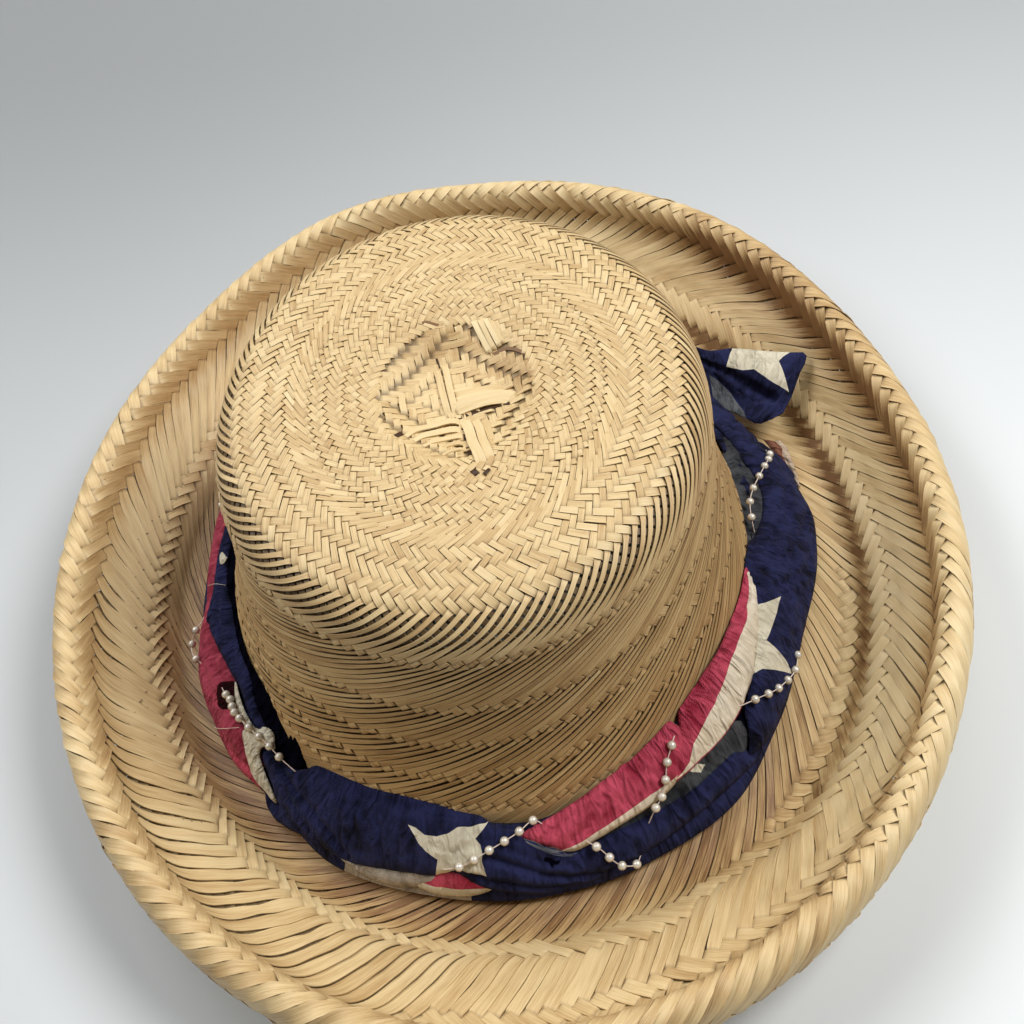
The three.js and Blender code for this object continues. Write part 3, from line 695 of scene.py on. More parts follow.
# The cloth band: one printed strip, twisted, seen as overlapping folds
band = {
    # angle, height of the upper edge and radius of the outer edge
    "tops": [(-180, 19), (-164, 18), (-150, 22), (-137, 17.5), (-122, 22.5), (-104, 24), (-86, 20.5),
             (-70, 25), (-52, 28), (-38, 32), (-22, 25), (-4, 22.5), (9, 22), (23, 22), (46, 20), (70, 22),
             (96, 25), (122, 20), (150, 24)],
    "outers": [(-180, 108.5), (-164, 110.5), (-150, 110.2), (-137, 107), (-122, 111), (-104, 109.8),
               (-86, 110.5), (-70, 111.5), (-52, 113.8), (-38, 111.5), (-22, 110.5), (-4, 114.5), (9, 115.5),
               (23, 110.5), (46, 107), (70, 110), (96, 111), (122, 109), (150, 111)],
    "gap": 0.4, "topThickness": 2.8, "topRise": 0.4, "bulge": 1.6, "edgeHeight": 7.4, "edgeInset": 0.6,
    "brimRest": 2.9,
    # over its upper edge the cloth rolls back over a share of the face, then climbs the crown
    "rollShare": 0.13, "rollRise": 0.5, "climbFrom": 0.1, "climb": 34, "climbGap": 0.5,
    # millimetres for a degree round the crown and for the whole way across the face
    "degree": 1.82, "across": 20.5,
    "thick": 0.45, "slopeStep": 0.03,
    # size of a triangle; as shares of it, the distance between rows and the free space beside an outline
    "grid": 1.05, "rowShare": 0.87, "edgeShare": 0.5,
    # how a fold rises from its edge and turns down at it, and how deep its creases are
    "rise": 0.9, "riseReach": 3.5, "turnReach": 1.3, "creaseDepth": 1.2, "creaseSides": 0.7,
    # waves, narrow wrinkles and small unevenness: height; size along and across in millimetres
    "waves": (0.28, 5.5, 3.2), "wrinkles": (0.3, 3.4, 9), "rough": (0.1, 2.1, 1.9),
    # the strip's width and length before it was twisted, in metres
    "flat": (0.055, 0.74),
    # hollows in the rolled core: angle, share across, reach of both, depth
    "hollows": [(303, 0.62, 17, 0.33, 2.6), (204.6, 0.3, 2.6, 0.26, 3.2), (206, -0.2, 18, 0.16, 2.2),
                (250, 0.95, 11, 0.22, 1.6), (222, -0.1, 3, 0.2, 2.4)],
    # points round the core, rings of them in all and on its face, where the first one runs, a ring's width;
    # how deep the core lies under the folds, its unevenness (height, degrees, waves across), and its distance
    # from the crown
    "coreTurns": 480, "coreRings": 26, "faceRings": 18, "coreStart": -0.1, "ringWidth": 1.2,
    "coreDepth": 1.5, "coreWaves": (0.5, 6, 5), "coreGap": 0.6,
    # the core's underside: how far inside the outer edge, height; then radius, height
    "coreFoot": [(0.6, 4.4), (1.6, 2.9), (4, 2.6)], "coreHeel": [(104.5, 2.6), (100.5, 5.4), (97.6, 11)],
    # the core is navy but for these: cloth, angle from and to, first and last ring
    "coreCloth": [("red", 182, 219, 8, 25), ("red", 96, 150, 8, 25), ("navy", 200, 208, 0, 10),
                  # the near-black cloth paints the shade at the core's upper edge and underside; the shaded
                  # cream paints the shade on its lower edge
                  ("paintedShade", 150, 227, 0, 3), ("paintedShade", 150, 227, 22, 25), ("shadedCream", 240, 262, 15, 21)],
    # loose threads: their cloth, and angle, share across and height over the face
    "threads": [
        ("cream", [(180.1, 0.38, 1.1), (181.2, 0.1, 1.6), (182.4, -0.14, 1.2)]),
        ("cream", [(205.8, 0.94, 1.0), (208.4, 0.68, 1.7), (211.9, 0.34, 1.3)]),
        ("frayed", [(271.8, 0.12, 0.9), (274, 0.2, 1.5), (276, 0.36, 1.1), (278.4, 0.46, 1.5),
                    (280.2, 0.5, 0.8)]),
        ("frayed", [(272.4, 0.18, 1.0), (274.6, 0.31, 1.3), (277, 0.43, 1.6), (279.6, 0.52, 0.9)]),
        ("frayed", [(273.2, 0.16, 1.0), (275.4, 0.29, 1.6), (276.8, 0.33, 1.0), (278.8, 0.5, 1.4)]),
        # a thread coloured with the near-black painted shade
        ("paintedShade", [(275.4, 0.46, 1.0), (276.6, 0.52, 1.7), (277.4, 0.47, 1.2), (276.3, 0.44, 1.5),
                  (276, 0.53, 1.1)]),
    ],
    "threadThick": 0.16, "threadStep": 0.5,
    # the knot behind the crown: angle, radius, height; half its depth, length and rise; how deep its grooves
    # are, how many and how far they turn and stray; how narrow its waist is, and over which share of it
    "knot": {"at": (47, 107.6, 13.5), "size": (8, 13, 9), "rings": 40, "around": 64,
             "groove": 0.07, "grooves": 3, "twist": 2.4, "stray": 0.7, "rough": 0.03,
             "waist": 0.16, "waistShare": 0.22},
}
folds = [
    # every fold of the band: outline in degrees and share across; how far it lies over the face; how far its
    # edge turns down; its cloth, with printed parts; creases as (points, depth, width)
    {"name": "innerGrey", "cloth": "shadedGrey", "lift": -1.6, "turn": 0.5, "outline": [
        (349, -0.1), (354, -0.17), (360, -0.19), (366, -0.19), (371, -0.15), (377, -0.06), (384, 0.05),
        (392, 0.1), (392, 0.4), (380, 0.36), (372, 0.3), (366, 0.34), (360, 0.3), (354, 0.16)],
     "creases": [([(356, -0.05), (364, 0.02), (372, 0.08)], 0.5, 1.4)]},
    # a near-black sheet painted as the shade in the deep gap between the band's upper edge and the crown
    {"name": "hollowLining", "cloth": "paintedShade", "lift": -1.4, "turn": 0.2, "outline": [
        (150, -0.1), (166, -0.2), (180, -0.24), (190, -0.25), (200, -0.24), (209, -0.23), (216, -0.22),
        (224, -0.12), (226, 0.05), (218, 0.08), (200, 0.02), (180, 0.04), (160, 0.02)],
     "creases": []},
    {"name": "creamCorner", "cloth": "cream", "lift": 0.9, "turn": 0.3, "outline": [
        (173.6, 0.12), (174.4, 0.03), (175.6, -0.06), (176.8, -0.02), (176.6, 0.08), (175, 0.16)],
     "creases": []},
    # a fold in shade, coloured with the near-black painted shade
    {"name": "darkFold", "cloth": "paintedShade", "lift": -0.9, "turn": 1.2, "outline": [
        (219.4, -0.02), (220.3, -0.22), (221.5, -0.32), (223, -0.31), (224.6, -0.22), (226, -0.1),
        (227.6, -0.04), (226, 0.06), (223.4, 0.1), (220.8, 0.08)],
     "creases": [([(221.6, -0.28), (222.2, -0.1), (222.4, 0.08)], 0.6, 0.9)]},
    # its deeper red is a copy of the red with painted shade
    {"name": "leftRed", "cloth": "shadedDeepRed", "lift": 0.0, "turn": 1.3, "outline": [
        (134, 0.3), (150, 0.16), (166, 0.14), (180, 0.16), (188, 0.3), (193, 0.2), (198, 0.08), (202, 0.1),
        (205, 0.12), (208, 0.24), (210, 0.36), (212.6, 0.36), (214.6, 0.44), (217.2, 0.76), (218.2, 0.9),
        (214, 0.9), (210, 0.94), (206, 1.0), (202, 1.07), (198, 1.1), (194, 1.08), (190.4, 0.94),
        (187, 0.74), (184, 0.62), (178, 0.6), (166, 0.76), (150, 0.96), (138, 0.9), (133, 0.6)],
     "prints": [("shadedRed", [(202.6, 0.1), (201.8, 0.2), (201.2, 0.32), (201.6, 0.42), (202.4, 0.5),
                               (203.6, 0.55), (204.8, 0.55), (206, 0.5), (207, 0.4), (207.6, 0.28),
                               (206, 0.08)])],
     "creases": [([(202.4, 0.16), (199.4, 0.3), (196.6, 0.36)], 0.9, 1.6),
                 ([(203.2, 0.56), (199, 0.62), (194, 0.66), (189, 0.6)], 0.6, 1.7),
                 ([(216, 0.8), (210, 0.78), (204, 0.86), (198, 0.92)], 0.6, 1.6),
                 ([(197.6, 0.32), (198.6, 0.44), (201.2, 0.46)], 0.5, 0.9),
                 ([(174, 0.3), (181, 0.42), (186, 0.5)], 0.5, 1.6),
                 ([(146, 0.4), (158, 0.5), (168, 0.44)], 0.7, 1.9)]},
    {"name": "leftNavy", "cloth": "navy", "lift": 0.5, "turn": 1.3, "outline": [
        (128, 0.2), (140, -0.04), (152, -0.1), (166, -0.08), (174, -0.05), (180, -0.07), (188, -0.13),
        (194, -0.16), (200, -0.17), (204, -0.15), (208, -0.1), (211.5, -0.06), (215, -0.03), (216.6, 0.05),
        (215.6, 0.12), (213.6, 0.15), (209.6, 0.13), (205.4, 0.07), (202, 0.08), (198.6, 0.12), (195, 0.2),
        (192, 0.3), (189.6, 0.4), (187.6, 0.52), (185.4, 0.44), (182.6, 0.33), (178, 0.29), (168, 0.26),
        (156, 0.28), (142, 0.4), (132, 0.42)],
     "creases": [([(188, 0.44), (188.6, 0.2), (194, 0.0), (204, -0.06)], 0.7, 1.7),
                 ([(178, -0.02), (186, 0.06), (192, 0.1)], 0.5, 1.5),
                 ([(202, 0.02), (210, 0.0), (217, 0.03)], 0.5, 1.2),
                 ([(160, 0.0), (170, 0.06), (178, 0.08)], 0.6, 1.8)]},
    {"name": "starScrap", "cloth": "cream", "lift": 0.55, "turn": 0.7, "outline": [
        (203.4, 0.07), (206.5, 0.11), (210, 0.16), (213.4, 0.16), (214.6, 0.1), (215.2, 0.0),
        (216.2, -0.07), (217.8, -0.08), (219, -0.03), (219.6, 0.04), (218.5, 0.1), (217.6, 0.18),
        (217.3, 0.28), (217.8, 0.39), (219.6, 0.52), (221.6, 0.7), (223, 0.88), (223.9, 1.03),
        (222.4, 1.06), (220.6, 1.0), (218.9, 0.98), (217.5, 0.88), (216, 0.71), (214, 0.53), (212.2, 0.39),
        (212.4, 0.32), (210, 0.28), (206.6, 0.22)],
     "creases": [([(213.6, 0.28), (216, 0.5), (219.4, 0.82)], 0.35, 1.2)]},
    {"name": "underStrip", "cloth": "shadedCream", "lift": -0.3, "turn": 0.6, "outline": [
        (239.6, 0.9), (244, 0.84), (250, 0.76), (256.4, 0.74), (256.2, 0.86), (254.4, 0.94), (252, 1.0),
        (248, 1.04), (244.6, 1.03), (242, 0.99)],
     "creases": []},
    {"name": "redCorner", "cloth": "red", "lift": -0.3, "turn": 0.6, "outline": [
        (253.6, 0.84), (256, 0.74), (259, 0.64), (263.6, 0.66), (266, 0.8), (265, 0.92), (262.4, 1.0),
        (258, 1.04), (254.6, 1.02), (252.6, 0.95)],
     "prints": [("cream", [(252, 0.87), (256.4, 0.885), (259.6, 0.885), (262.4, 0.85), (267, 0.83),
                           (267, 1.1), (252, 1.1)])],
     "creases": []},
    {"name": "greyFold", "cloth": "shadedGrey", "lift": -2.2, "turn": 0.3, "outline": [
        (285, 0.4), (293, 0.36), (300, 0.34), (306, 0.36), (310, 0.38), (315, 0.42), (319.6, 0.44),
        (320, 0.56), (318.6, 0.72), (316, 0.86), (312, 0.82), (308, 0.7), (300, 0.66), (292, 0.6),
        (285, 0.52)],
     "prints": [("cream", [(302.8, 0.36), (304.4, 0.36), (306.4, 0.5), (305, 0.53), (303.6, 0.44)]),
                # a dark print painted as the shade in the fold's hollow
                ("paintedShade", [(315, 0.46), (317, 0.44), (320.5, 0.42), (320.5, 0.6), (318.8, 0.74), (317, 0.84),
                          (316, 0.72), (316.4, 0.56)])],
     "creases": [([(290, 0.49), (300, 0.49), (310, 0.53)], 0.7, 1.1)]},
    {"name": "mainNavy", "cloth": "navy", "lift": 0.1, "turn": 1.5, "outline": [
        (227, -0.1), (230, -0.15), (236, -0.15), (242, -0.17), (248, -0.19), (254, -0.17), (260, -0.13),
        (264.4, -0.12), (268.4, -0.05), (271, 0.02), (272.7, 0.11), (275, 0.21), (277, 0.33), (279.2, 0.47),
        (282, 0.5), (286, 0.49), (291, 0.51), (297, 0.55), (302, 0.59), (308, 0.61), (311.6, 0.66),
        (313.4, 0.78), (316, 0.9), (319.6, 1.0), (316, 1.02), (313, 0.97), (309.6, 0.9), (305, 0.87),
        (300, 0.88), (295, 0.92), (290, 0.96), (285, 1.0), (280, 1.03), (274, 1.04), (270, 1.0),
        (266, 0.94), (262.8, 0.87), (261.4, 0.77), (259.6, 0.69), (257.4, 0.73), (255.6, 0.79), (251, 0.82),
        (247, 0.85), (243, 0.91), (240, 0.925), (236, 0.93), (233, 0.98), (230, 1.12), (227, 1.32),
        (224.5, 1.42), (222.2, 1.36), (220.9, 1.2), (220.6, 1.07), (222.4, 1.08), (224, 1.04),
        (222.8, 0.82), (220.7, 0.6), (218.2, 0.43), (217.5, 0.31), (218.7, 0.19), (221.5, 0.11), (224, 0.02)],
     "prints": [("cream", [(251.2, 0.08), (252.6, 0.1), (254.4, 0.17), (256.6, 0.17), (258.6, 0.11),
                           (260.2, 0.02), (262.6, -0.02), (265.7, -0.105), (264.6, 0.02), (263.4, 0.13),
                           (264.2, 0.2), (264.5, 0.3), (264.3, 0.42), (264.9, 0.63), (262.4, 0.6),
                           (260.6, 0.56), (259.2, 0.6), (257.8, 0.7), (256.2, 0.77), (256.6, 0.62),
                           (256.9, 0.46), (255.4, 0.4), (253.6, 0.3), (252.4, 0.18)]),
                ("frayed", [(271.9, 0.15), (273.5, 0.23), (275, 0.3), (277.4, 0.4), (279.6, 0.46),
                            (281, 0.5), (279, 0.475), (277.4, 0.428), (276.2, 0.395), (275, 0.33),
                            (273.8, 0.28), (272.3, 0.19)]),
                # a dark print painted as the shade in a small hole of the frayed edge
                ("paintedShade", [(274.8, 0.42), (275.7, 0.45), (276.3, 0.51), (277.2, 0.54), (276.7, 0.58),
                          (276, 0.56), (275.6, 0.6), (275.2, 0.51), (274.4, 0.48)])],
     "creases": [([(222.6, 0.18), (227, 0.3), (233, 0.44), (238.4, 0.62), (241, 0.78)], 1.3, 1.7),
                 ([(224.4, 0.42), (229, 0.58), (233, 0.72)], 0.5, 1.3),
                 ([(222.4, 0.98), (226, 0.96), (231, 0.9)], 0.7, 1.5),
                 ([(237.4, 0.06), (240.6, 0.22), (241.6, 0.4), (240.6, 0.56)], 0.5, 1.1),
                 ([(241, 0.04), (243.6, 0.24), (244.2, 0.44), (243.2, 0.66)], 0.55, 1.1),
                 ([(244.6, 0.1), (246.6, 0.32), (246.8, 0.56)], 0.5, 1.1),
                 ([(249.6, 0.34), (250, 0.54), (249.4, 0.74)], 0.45, 1.0),
                 ([(231.6, 0.72), (235, 0.78), (237.4, 0.9)], 0.5, 1.1),
                 ([(252.6, 0.4), (252.9, 0.58), (252.6, 0.72)], 0.4, 0.9),
                 ([(262.4, 0.64), (266, 0.71), (270, 0.8), (275, 0.94), (279, 1.0)], 1.0, 1.3),
                 ([(265.4, 0.38), (270, 0.5), (273, 0.64), (277, 0.79), (283, 0.92), (288, 0.95)], 1.3, 1.5),
                 ([(268, 0.2), (272, 0.36), (275.4, 0.5), (279.6, 0.68)], 0.5, 1.2),
                 ([(286.6, 0.56), (288.6, 0.7), (289.6, 0.86)], 0.45, 1.1),
                 ([(294, 0.6), (295.4, 0.72), (295.8, 0.86)], 0.4, 1.1),
                 ([(303.6, 0.66), (304.6, 0.76), (304.6, 0.84)], 0.4, 1.0),
                 ([(311, 0.72), (314, 0.84), (317.6, 0.96)], 0.5, 0.9),
                 ([(259.6, 0.34), (262, 0.24), (264, 0.22)], 0.6, 1.0),
                 ([(260.4, 0.02), (262.4, 0.1), (263.6, 0.15)], 0.5, 0.9)]},
    {"name": "midRed", "cloth": "red", "lift": 0.45, "turn": 0.9, "outline": [
        (271.3, 0.09), (273, 0.0), (275, -0.06), (279, -0.1), (285, -0.11), (290, -0.13), (294, -0.14),
        (298, -0.15), (302, -0.15), (305.4, -0.14), (306, 0.0), (305, 0.12), (302.4, 0.27), (300.6, 0.37),
        (297, 0.41), (290, 0.43), (285, 0.455), (280.4, 0.49), (278.3, 0.44), (276, 0.32), (273, 0.18)],
     # the warm cream is a lighter, pinker copy of the cream with painted light
     "prints": [("litWarmCream", [(277.4, 0.42), (279.4, 0.395), (285, 0.345), (290, 0.31), (295, 0.285),
                               (300, 0.32), (303.4, 0.33), (303.4, 0.5), (277.4, 0.56)])],
     "creases": [([(278.4, 0.37), (282.6, 0.28), (289.4, 0.26)], 0.8, 1.0),
                 ([(279.4, 0.3), (285, 0.17), (291.6, 0.12)], 0.7, 1.1),
                 ([(293, -0.12), (295, 0.0), (298.4, 0.2)], 0.8, 1.0),
                 ([(275, 0.16), (279, 0.06), (284, 0.02)], 0.5, 1.1),
                 ([(289.4, 0.22), (294.6, 0.2), (298, 0.26)], 0.5, 0.9)]},
    {"name": "rightRed", "cloth": "red", "lift": 0.6, "turn": 1.1, "outline": [
        (299.8, 0.36), (302, 0.2), (304.8, 0.06), (306.5, -0.08), (308.5, -0.15), (312, -0.155),
        (316, -0.13), (322, -0.1), (328, -0.13), (334, -0.2), (338, -0.21), (343, -0.19), (342.6, -0.1),
        (339.6, 0.02), (335, 0.13), (330, 0.25), (326, 0.35), (323.4, 0.41), (320.4, 0.44), (317.5, 0.455),
        (314, 0.44), (310, 0.41), (306, 0.39), (302, 0.385)],
     # the warm cream is a lighter, pinker copy of the cream with painted light
     "prints": [("litWarmCream", [(299.4, 0.352), (301.6, 0.33), (303.6, 0.29), (306, 0.19), (308.5, 0.14),
                               (312, 0.115), (317, 0.105), (323, 0.06), (328, 0.02), (333, -0.05),
                               (338, -0.13), (342, -0.175), (344, -0.1), (339.6, 0.1), (332, 0.3),
                               (324, 0.5), (318, 0.44), (314, 0.425), (310, 0.395), (306, 0.372),
                               (302, 0.366)])],
     "creases": [([(314.6, 0.1), (318.6, 0.24), (323, 0.38)], 0.35, 0.8),
                 ([(302.6, 0.27), (306.4, 0.05), (308.6, -0.12)], 0.5, 0.9),
                 ([(310, 0.02), (317, 0.0), (326, -0.04)], 0.5, 1.2),
                 ([(306, 0.3), (312, 0.27), (318, 0.33)], 0.4, 1.4)]},
    {"name": "rightNavy", "cloth": "navy", "lift": 0.35, "turn": 1.2, "outline": [
        (323.2, 0.385), (326, 0.315), (330, 0.2), (334, 0.09), (336.6, 0.02), (339, -0.06), (341, -0.14),
        (344, -0.19), (347, -0.17), (350, -0.14), (352.4, -0.07), (354.4, 0.01), (357, 0.1), (360, 0.17),
        (363, 0.21), (366, 0.22), (368.4, 0.18), (371, 0.13), (376, 0.1), (381, 0.06), (388, -0.02),
        (398, -0.08), (408, -0.1), (412, 0.3), (410, 0.7), (404, 0.96), (396, 1.02), (388, 1.06),
        (381, 1.16), (376, 1.26), (371, 1.2), (368.4, 1.12), (366, 1.17), (363, 1.25), (360, 1.25),
        (355, 1.17), (350, 1.13), (345, 1.11), (340, 1.09), (335, 1.06), (330, 1.02), (325, 1.02),
        (319.6, 1.02), (316, 0.94), (313.8, 0.86), (315.2, 0.76), (316.8, 0.62), (317.6, 0.52),
        (320.4, 0.47)],
     "prints": [("cream", [(321.6, 0.34), (326, 0.2), (333, 0.02), (336.2, 0.02), (337.4, 0.13),
                           (339, 0.25), (340.6, 0.365), (337, 0.335), (333.4, 0.325), (330.6, 0.325),
                           (330.5, 0.55), (330.4, 0.75), (330, 0.905), (328.8, 0.75), (327, 0.57),
                           (325.4, 0.44), (323.6, 0.4)])],
     "creases": [([(340.4, 0.0), (342, 0.24), (345.6, 0.54), (350.4, 0.94)], 0.7, 1.4),
                 ([(344, 0.06), (347, 0.34), (352, 0.66)], 0.5, 1.2),
                 ([(341.4, 0.4), (343.6, 0.66), (346.6, 0.96)], 0.5, 1.1),
                 ([(352, 0.18), (355.6, 0.36), (357, 0.5), (361, 0.6)], 1.4, 1.9),
                 ([(359, 0.36), (362, 0.56), (366, 0.72)], 0.7, 1.3),
                 ([(353, 0.5), (357, 0.8), (362, 1.06)], 0.7, 1.2),
                 ([(347, 0.62), (351, 0.84), (356, 1.04)], 0.5, 1.0),
                 ([(318.6, 0.62), (321, 0.78), (324.4, 0.96)], 0.45, 1.1),
                 ([(331.6, 0.4), (333, 0.66), (336.6, 0.92)], 0.45, 1.1),
                 ([(322, 0.52), (323.6, 0.68), (327, 0.9)], 0.4, 1.0),
                 ([(373, 0.2), (376, 0.5), (378, 0.8), (379, 1.1)], 0.9, 1.4),
                 ([(378, 0.2), (382, 0.5), (384, 0.84)], 0.8, 1.3),
                 ([(388, 0.1), (392, 0.44), (394, 0.8)], 0.7, 1.6),
                 ([(400, 0.1), (403, 0.4), (405, 0.8)], 0.8, 1.4)]},
    {"name": "backNavy", "cloth": "navy", "lift": 0.3, "turn": 1.3, "outline": [
        (408, 0.2), (412, -0.04), (420, -0.12), (434, -0.14), (448, -0.1), (458, 0.02), (464, 0.24),
        (466, 0.5), (462, 0.8), (452, 1.0), (438, 1.04), (424, 1.02), (412, 0.98), (407, 0.6)],
     "creases": [([(414, 0.2), (424, 0.36), (440, 0.42), (456, 0.36)], 0.9, 1.8),
                 ([(412, 0.6), (422, 0.66), (436, 0.76)], 0.8, 1.7),
                 ([(430, 0.06), (444, 0.12), (456, 0.16)], 0.6, 1.6),
                 ([(444, 0.62), (452, 0.74), (458, 0.78)], 0.6, 1.6)]},
    {"name": "backRed", "cloth": "red", "lift": 0.0, "turn": 1.3, "outline": [
        (444, 0.7), (452, 0.4), (458, 0.1), (468, -0.08), (482, -0.14), (494, -0.1), (504, 0.0), (512, 0.2),
        (514, 0.46), (508, 0.76), (498, 0.98), (484, 1.04), (468, 1.02), (452, 0.98)],
     "prints": [("cream", [(452, 0.54), (460, 0.3), (472, 0.16), (488, 0.12), (502, 0.2), (516, 0.3),
                           (516, 0.44), (502, 0.36), (488, 0.3), (472, 0.34), (462, 0.48), (454, 0.68)]),
                ("cream", [(458, 0.9), (468, 0.68), (482, 0.58), (496, 0.6), (512, 0.66), (510, 0.8),
                           (496, 0.74), (482, 0.74), (470, 0.84), (462, 1.0)])],
     "creases": [([(460, 0.24), (474, 0.08), (492, 0.04)], 0.8, 1.6),
                 ([(462, 0.62), (476, 0.46), (494, 0.46)], 0.8, 1.6),
                 ([(468, 0.94), (482, 0.84), (496, 0.86)], 0.7, 1.5)]},
]
# the band's two loose ends: lines of points (angle, radius, height) from the knot outwards, their face's
# size in millimetres, and outlines and prints in shares along and across it
tails = {
    "star_tail": {
        "lines": [[(42, 113.8, 18.6), (37.2, 115.1, 22), (30.2, 125.4, 24), (24.3, 139.1, 24.5)],
                  [(41, 112.4, 16.8), (34.6, 113.5, 18), (27.2, 120, 20), (22.1, 133, 21.5)],
                  [(40, 111, 15.2), (32.8, 110.9, 14.5), (25.9, 115, 13.5), (20.1, 125.7, 17.5)],
                  [(39.3, 109.4, 14.2), (29.3, 106.4, 13.6), (24, 109.8, 13.5), (19.1, 114.8, 14.5)]],
        "size": (46, 22), "grid": 0.8, "flat": (0.022, 0.046),
        "fold": {"name": "starTail", "cloth": "navy", "lift": -0.5, "turn": 0.5, "sharp": True, "outline": [
            (0, 0), (0.28, 0.03), (0.36, 0.04), (0.52, -0.02), (0.75, -0.01), (0.92, -0.04), (1.0, -0.07),
            (1.03, -0.02), (1.03, 0.1), (1.01, 0.25), (1.0, 0.52), (1.0, 0.68), (1.02, 0.8), (0.99, 0.91),
            (0.93, 1.0), (0.85, 1.02), (0.76, 1.0), (0.6, 0.99), (0.42, 1.0), (0.2, 1.0), (0, 1.0)],
            "prints": [("cream", [(0.55, -0.06), (0.51, 0.1), (0.47, 0.27), (0.6, 0.28), (0.68, 0.25),
                                  (0.8, 0.37), (0.97, 0.53), (0.9, 0.3), (0.85, 0.12), (0.88, 0.04),
                                  (0.95, -0.1)]),
                       ("grey", [(0.3, 0.55), (0.4, 0.58), (0.53, 0.65), (0.64, 0.8), (0.76, 1.02),
                                 (0.42, 1.04), (0.3, 1.02)])],
            "creases": [([(0.2, 0.3), (0.34, 0.33), (0.5, 0.37), (0.68, 0.47), (0.88, 0.63)], 2.0, 1.7),
                        ([(0.36, 0.5), (0.5, 0.6), (0.68, 0.84)], 0.7, 1.2),
                        ([(0.74, 0.62), (0.84, 0.8), (0.86, 0.96)], 0.4, 1.2),
                        ([(0.9, 0.6), (0.96, 0.72), (1.0, 0.84)], 0.35, 1.0)]},
    },
    "plain_tail": {
        "lines": [[(19, 113.8, 7.4), (16, 114.8, 6.2), (12.5, 116.2, 4.6), (8.8, 117.4, 3.1)],
                  [(16.5, 120, 8), (13.5, 119.3, 6.6), (10.6, 118.8, 4.8), (8.3, 118.6, 3.1)]],
        "size": (22, 6), "grid": 0.6,
        "fold": {"name": "plainTail", "cloth": "pale", "lift": -0.4, "turn": 0.3, "sharp": True, "outline": [
            (0, 0), (0.35, 0.0), (0.7, 0.0), (1.0, 0.1), (1.0, 0.9), (0.7, 1.0), (0.4, 1.02), (0.12, 1.0),
            (0, 0.8)],
            "prints": [("rust", [(-0.05, -0.1), (0.5, -0.1), (0.8, 0.1), (0.62, 0.4), (0.36, 0.5),
                                 (0.2, 0.7), (-0.05, 0.5)])],
            "creases": [([(0.0, 0.5), (0.3, 0.52), (0.8, 0.5)], 0.5, 1.0)]},
    },
}


# The crown's radius at a height on its side
def wallRadius(height):
    side = (fineLine > hatShape["side"][0]) & (fineLine < hatShape["side"][1])
    return np.interp(-height, -finePoints[side, 1], finePoints[side, 0])


# Radius and height on the band's face at an angle, by the share across it from its upper edge
def faceLine(phi, across):
    degrees = np.degrees(phi)
    top, outer = roundValue(band["tops"], degrees), roundValue(band["outers"], degrees)
    fromR, fromZ = wallRadius(top) + band["gap"] + band["topThickness"], top + band["topRise"]
    toR, toZ = outer - band["edgeInset"], band["edgeHeight"]
    long = np.hypot(toR - fromR, toZ - fromZ)
    share = np.clip(across, 0, 1)
    swell = band["bulge"] * np.sin(np.pi * share)
    faceR = fromR + (toR - fromR) * share + (fromZ - toZ) / long * swell
    faceZ = fromZ + (toZ - fromZ) * share + (toR - fromR) / long * swell
    # above the upper edge the cloth rolls back to the crown and climbs it
    back = np.clip(-across, 0, None)
    climb = np.clip(back - band["climbFrom"], 0, None) * band["climb"]
    wallR = wallRadius(fromZ + climb) + band["gap"] + band["climbGap"]
    roll = eased(back, 0, band["rollShare"])
    faceR = np.where(back > 0, fromR + (wallR - fromR) * roll, faceR)
    faceZ = np.where(back > 0, fromZ + climb + band["rollRise"] * np.sin(np.pi * roll), faceZ)
    # past the outer edge it runs on down to the brim
    past = np.clip(across - 1, 0, None)
    faceR = faceR + (toR - fromR) * past
    lower = np.maximum(faceZ + (toZ - fromZ) * past, band["brimRest"])
    return faceR, np.where(past > 0, lower, faceZ)


# A point over the band's face
def bandPoint(phi, across, over):
    radius, height = faceLine(phi, across)
    r1, z1 = faceLine(phi, across - band["slopeStep"])
    r2, z2 = faceLine(phi, across + band["slopeStep"])
    size = np.maximum(np.hypot(r2 - r1, z2 - z1), 1e-6)
    return onHat(phi, radius - (z2 - z1) / size * over, height + (r2 - r1) / size * over)


def rowsOnBand(rows):
    angles, across, over = np.array(rows, float).T
    return bandPoint(np.radians(angles), across, over)


# Smooth noise between -1 and 1 on a plane
def softNoise(x, y, seed):
    table = np.random.default_rng(seed).uniform(-1, 1, (64, 64))
    x0, y0 = np.floor(x).astype(int), np.floor(y).astype(int)
    u, v = eased(x - x0, 0, 1), eased(y - y0, 0, 1)
    at = lambda i, j: table[i % 64, j % 64]
    return ((at(x0, y0) * (1 - u) + at(x0 + 1, y0) * u) * (1 - v)
            + (at(x0, y0 + 1) * (1 - u) + at(x0 + 1, y0 + 1) * u) * v)


# Distance from points to the pieces of a line, all in millimetres on the unrolled band
def lineDistance(points, line):
    a, b = line[:-1], line[1:]
    run = b - a
    share = np.einsum("pki,ki->pk", points[:, None] - a[None], run) / np.maximum((run ** 2).sum(1), 1e-9)
    nearest = a[None] + np.clip(share, 0, 1)[..., None] * run[None]
    return np.linalg.norm(points[:, None] - nearest, axis=2).min(1)


def insideOutline(points, outline):
    x, y = points[:, 0][:, None], points[:, 1][:, None]
    x1, y1 = outline[:, 0], outline[:, 1]
    x2, y2 = np.roll(x1, -1), np.roll(y1, -1)
    crosses = (y1 > y) != (y2 > y)
    where = x1 + (y - y1) / np.where(y2 == y1, 1e-9, y2 - y1) * (x2 - x1)
    return (crosses & (x < where)).sum(1) % 2 == 1


